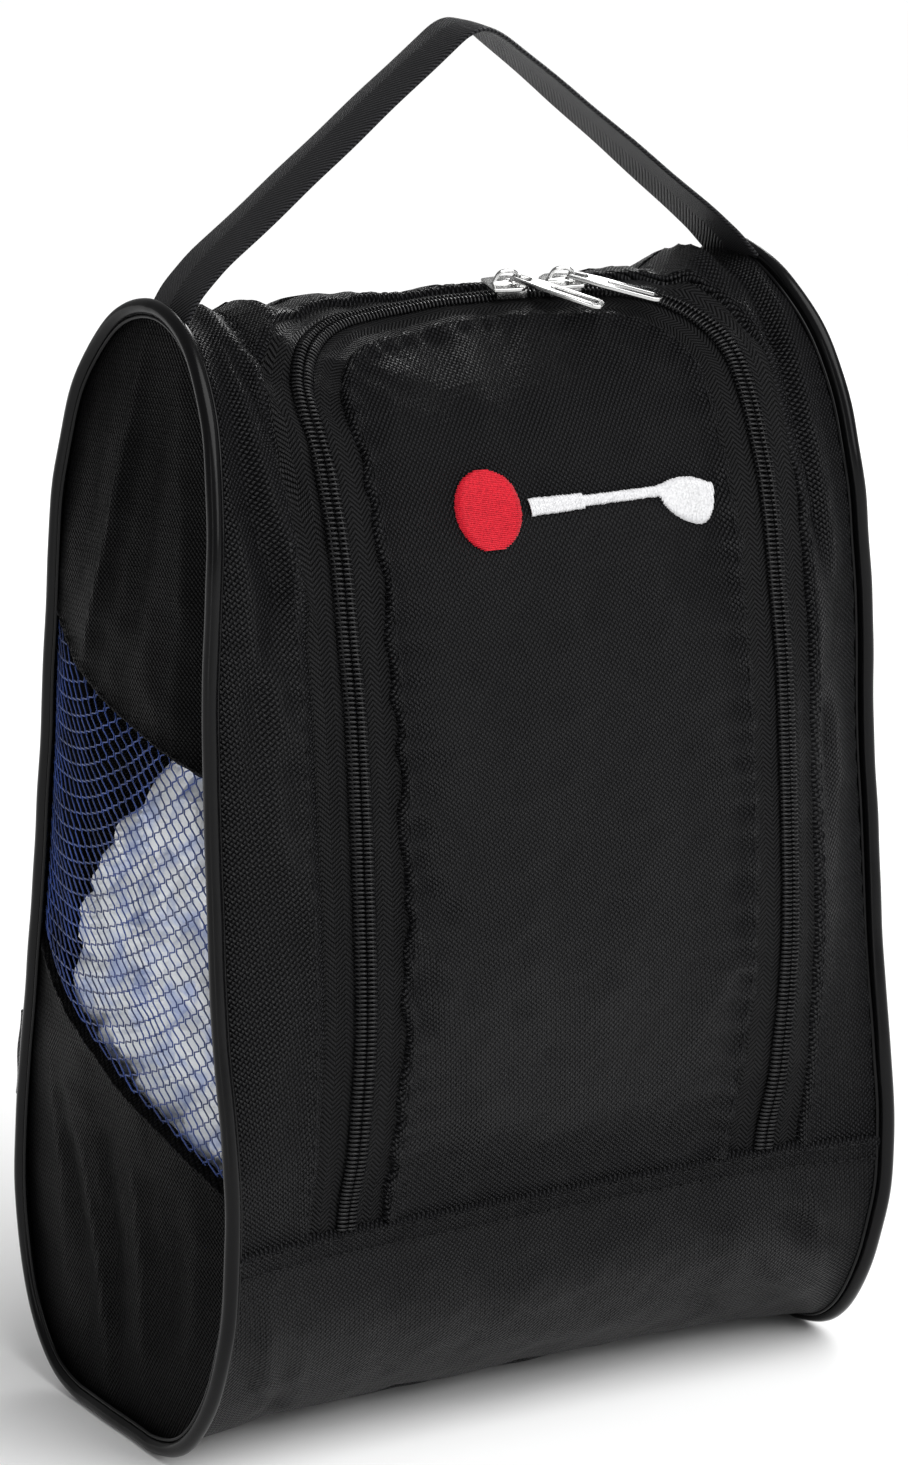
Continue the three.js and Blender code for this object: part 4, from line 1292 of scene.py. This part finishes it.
def make_emblem():
    middle = float(at_height(EMBLEM_HEIGHT, "front"))
    rows = np.arange(-BALL_RADIUS + 0.35, BALL_RADIUS - 0.2, 0.5)
    half = np.sqrt(BALL_RADIUS**2 - rows**2)
    ragged = np.random.default_rng(4).uniform(-0.15, 0.15, (2, len(rows)))
    starts = np.stack([BALL_X - half + ragged[0], middle + rows], -1)
    ends = np.stack([BALL_X + half + ragged[1], middle + rows + 0.3], -1)
    ball = satin(starts, ends)
    solid_piece("emblem_ball_satin", ball, RED_THREAD, "red_thread", "flap", "emblem_ball")
    along = np.arange(0.3, CLUB_LENGTH, 0.5)
    toe = np.clip((along - 43.5) / (CLUB_LENGTH - 43.5), 0, 1)
    head = 13.5 * np.sqrt(toe) * np.sqrt(1 - toe**5)
    shaft = np.where(along < 18, 2.3 - 0.02 * along, 1.3)
    below = np.maximum(np.maximum(head, shaft * (toe < 0.9)), 0.5)
    above = np.maximum(shaft * (1 - toe**4) + 1.6 * np.sin(math.pi * toe), 0.5)
    ragged = np.random.default_rng(5).uniform(-0.12, 0.12, (2, len(along)))
    starts = np.stack([-10 + along - 0.2, middle + 1 - above + ragged[0]], -1)
    ends = np.stack([-10 + along + 0.2, middle + 1 + below + ragged[1]], -1)
    club = satin(starts, ends)
    solid_piece("emblem_club_satin", club, WHITE_THREAD, "white_thread", "flap", "emblem_club")


make_emblem()

# ---- Handle ----

HANDLE_Y = -3
# Middle of the webbing from the left foot to the right: x, z, turn of its width, fold depth.
HANDLE_ROUTE = [
    (-99, 338, 0, 0.0), (-93, 349, 0, 0.6), (-84, 358, 0, 1.4), (-62, 375, 1, 2.2),
    (-36, 395, 2, 2.4), (-14, 411.5, 3, 2.2), (-2, 419.6, 3, 1.2), (4, 420.6, 2, 0.4),
    (10, 417.5, 0, 0.4), (22, 408, -2, 0.6), (44, 390, -6, 0.6), (68, 370, -10, 0.6),
    (82, 358, -13, 0.4), (91, 350, -13, 0.2), (98, 342, -12, 0.0),
]


def make_handle():
    table = np.array(HANDLE_ROUTE, float)
    knots = np.concatenate([[0], np.cumsum(np.hypot(*np.diff(table[:, :2], axis=0).T))])
    at = np.linspace(0, knots[-1], fine(300))
    values = [np.interp(at, knots, table[:, k]) for k in range(4)]
    kernel = np.hanning(fine(17) | 1)
    kernel /= kernel.sum()
    pad = len(kernel) // 2
    values = [np.pad(v, pad, mode="reflect", reflect_type="odd") for v in values]
    x, z, turn, fold = (np.convolve(v, kernel, "valid") for v in values)
    turn = np.radians(turn)
    along = unit(np.stack([np.gradient(x), 0 * x, np.gradient(z)], -1))
    wide = np.stack([np.sin(turn), np.cos(turn), 0 * x], -1)
    wide = unit(wide - along * np.sum(wide * along, -1, keepdims=True))
    out = np.cross(wide, along)
    out = out * np.sign(out[len(out) // 4, 2] + 1e-9)
    across = np.linspace(-HALF_WEBBING, HALF_WEBBING, 33)
    share = across / HALF_WEBBING
    bow = fold[:, None] * (np.abs(share)[None, :] ** 1.5 - 0.4)
    bow = bow + 0.12 * np.sin(at / 5.5)[:, None] * share[None, :] ** 2
    centre = np.stack([x, 0 * x + HANDLE_Y, z], -1)
    edge_round = 0.45 * np.maximum(0, np.abs(share) - 0.93) / 0.07
    half = WEBBING_THICK / 2 - edge_round
    middle = centre[:, None] + wide[:, None] * across[None, :, None]
    middle = middle - out[:, None] * bow[..., None]
    outer = middle + out[:, None] * half[None, :, None]
    inner = middle - out[:, None] * half[None, :, None]
    uv = stacked(across[None, :] + HALF_WEBBING, at[:, None])
    made = sheet_object("handle_webbing", outer, inner, uv, WEBBING)
    finish_piece(made, "webbing", "handle", "handle_strap", "handle_end_left", "handle_end_right")


def make_side_tab():
    rows = np.linspace(0, 1, 24)
    z = 86 + 27 * rows
    s = at_height(z, "back")
    y, _, ny, nz = outline_at(s)
    reach = np.linspace(1.0, 7.0, 12)
    fold = 1.25 * np.sqrt(np.maximum(0, 1 - ((reach - 1) / 6.05) ** 6))
    wave = 0.25 * np.sin(rows * 9)[:, None]
    lane = -(half_width(z) - 1.2)

    def face(side):
        points = np.zeros((len(rows), len(reach), 3))
        points[..., 0] = lane[:, None] + side * fold[None, :] + wave
        points[..., 1] = y[:, None] + ny[:, None] * reach
        points[..., 2] = z[:, None] + nz[:, None] * reach
        return points

    uv = stacked(reach[None, :], z[:, None])
    made = sheet_object("rear_side_tab_webbing", face(-1), face(1), uv, WEBBING)
    finish_piece(made, "webbing", "bag", "rear_side_tab")


make_handle()
make_side_tab()

# ---- Floor, light and camera ----


def make_floor():
    mesh = bpy.data.meshes.new("floor")
    far = FLOOR_HALF
    corners = [(-far, -far, 0), (far, -far, 0), (far, far, 0), (-far, far, 0)]
    mesh.from_pydata(corners, [], [(0, 1, 2, 3)])
    material, _, _ = node_material("floor", (0.93, 0.93, 0.93), 0.8, Specular_IOR_Level=0.1)
    mesh.materials.append(material)
    add_object("floor", mesh)


def aimed_light(name, kind, power, direction):
    data = bpy.data.lights.new(name, kind)
    data.energy = power
    light = add_object(name, data)
    light.rotation_mode = "QUATERNION"
    light.rotation_quaternion = Vector(direction).to_track_quat("-Z", "Y")
    return light


def area_light(name, place, aim, size, power):
    place, aim = np.array(place, float), np.array(aim, float)
    light = aimed_light(name, "AREA", power, unit(aim - place))
    light.location = place
    light.data.shape = "RECTANGLE"
    light.data.size, light.data.size_y = size


def make_sun(name, place, strength, softness):
    sun = aimed_light(name, "SUN", strength, -Vector(place))
    sun.data.angle = math.radians(softness)


def make_world():
    world = bpy.data.worlds.new("studio")
    bpy.context.scene.world = world
    world.use_nodes = True
    back = world.node_tree.nodes["Background"]
    back.inputs["Color"].default_value = (1, 1, 1, 1)
    back.inputs["Strength"].default_value = 0.29


def make_camera():
    data = bpy.data.cameras.new("camera")
    data.lens = 152.3
    data.sensor_width = 36
    data.clip_end = 60
    camera = add_object("camera", data)
    yaw, lift = math.radians(30), math.radians(15.02)
    level = math.cos(lift)
    ahead = np.array([math.sin(yaw) * level, math.cos(yaw) * level, -math.sin(lift)])
    target = np.array([0.0045, 0.0101, 0.2016])
    camera.location = target - ahead * 1.89
    camera.rotation_euler = (math.pi / 2 - lift, 0, -yaw)
    bpy.context.scene.camera = camera


make_floor()
make_world()
make_sun("sun", (0.45, -0.9, 1.35), 3.2, 60)
area_light("front", (0.7, -2.0, 0.9), (0, 0, 0.2), (1.1, 0.9), 12)
area_light("side_strip", (-1.3, -0.9, 0.5), (-0.1, 0, 0.2), (0.12, 1.3), 2.2)
area_light("back_strip", (1.0, 1.0, 0.9), (0, 0, 0.3), (0.3, 1.2), 8)
make_camera()

bpy.context.scene.view_settings.view_transform = "Standard"
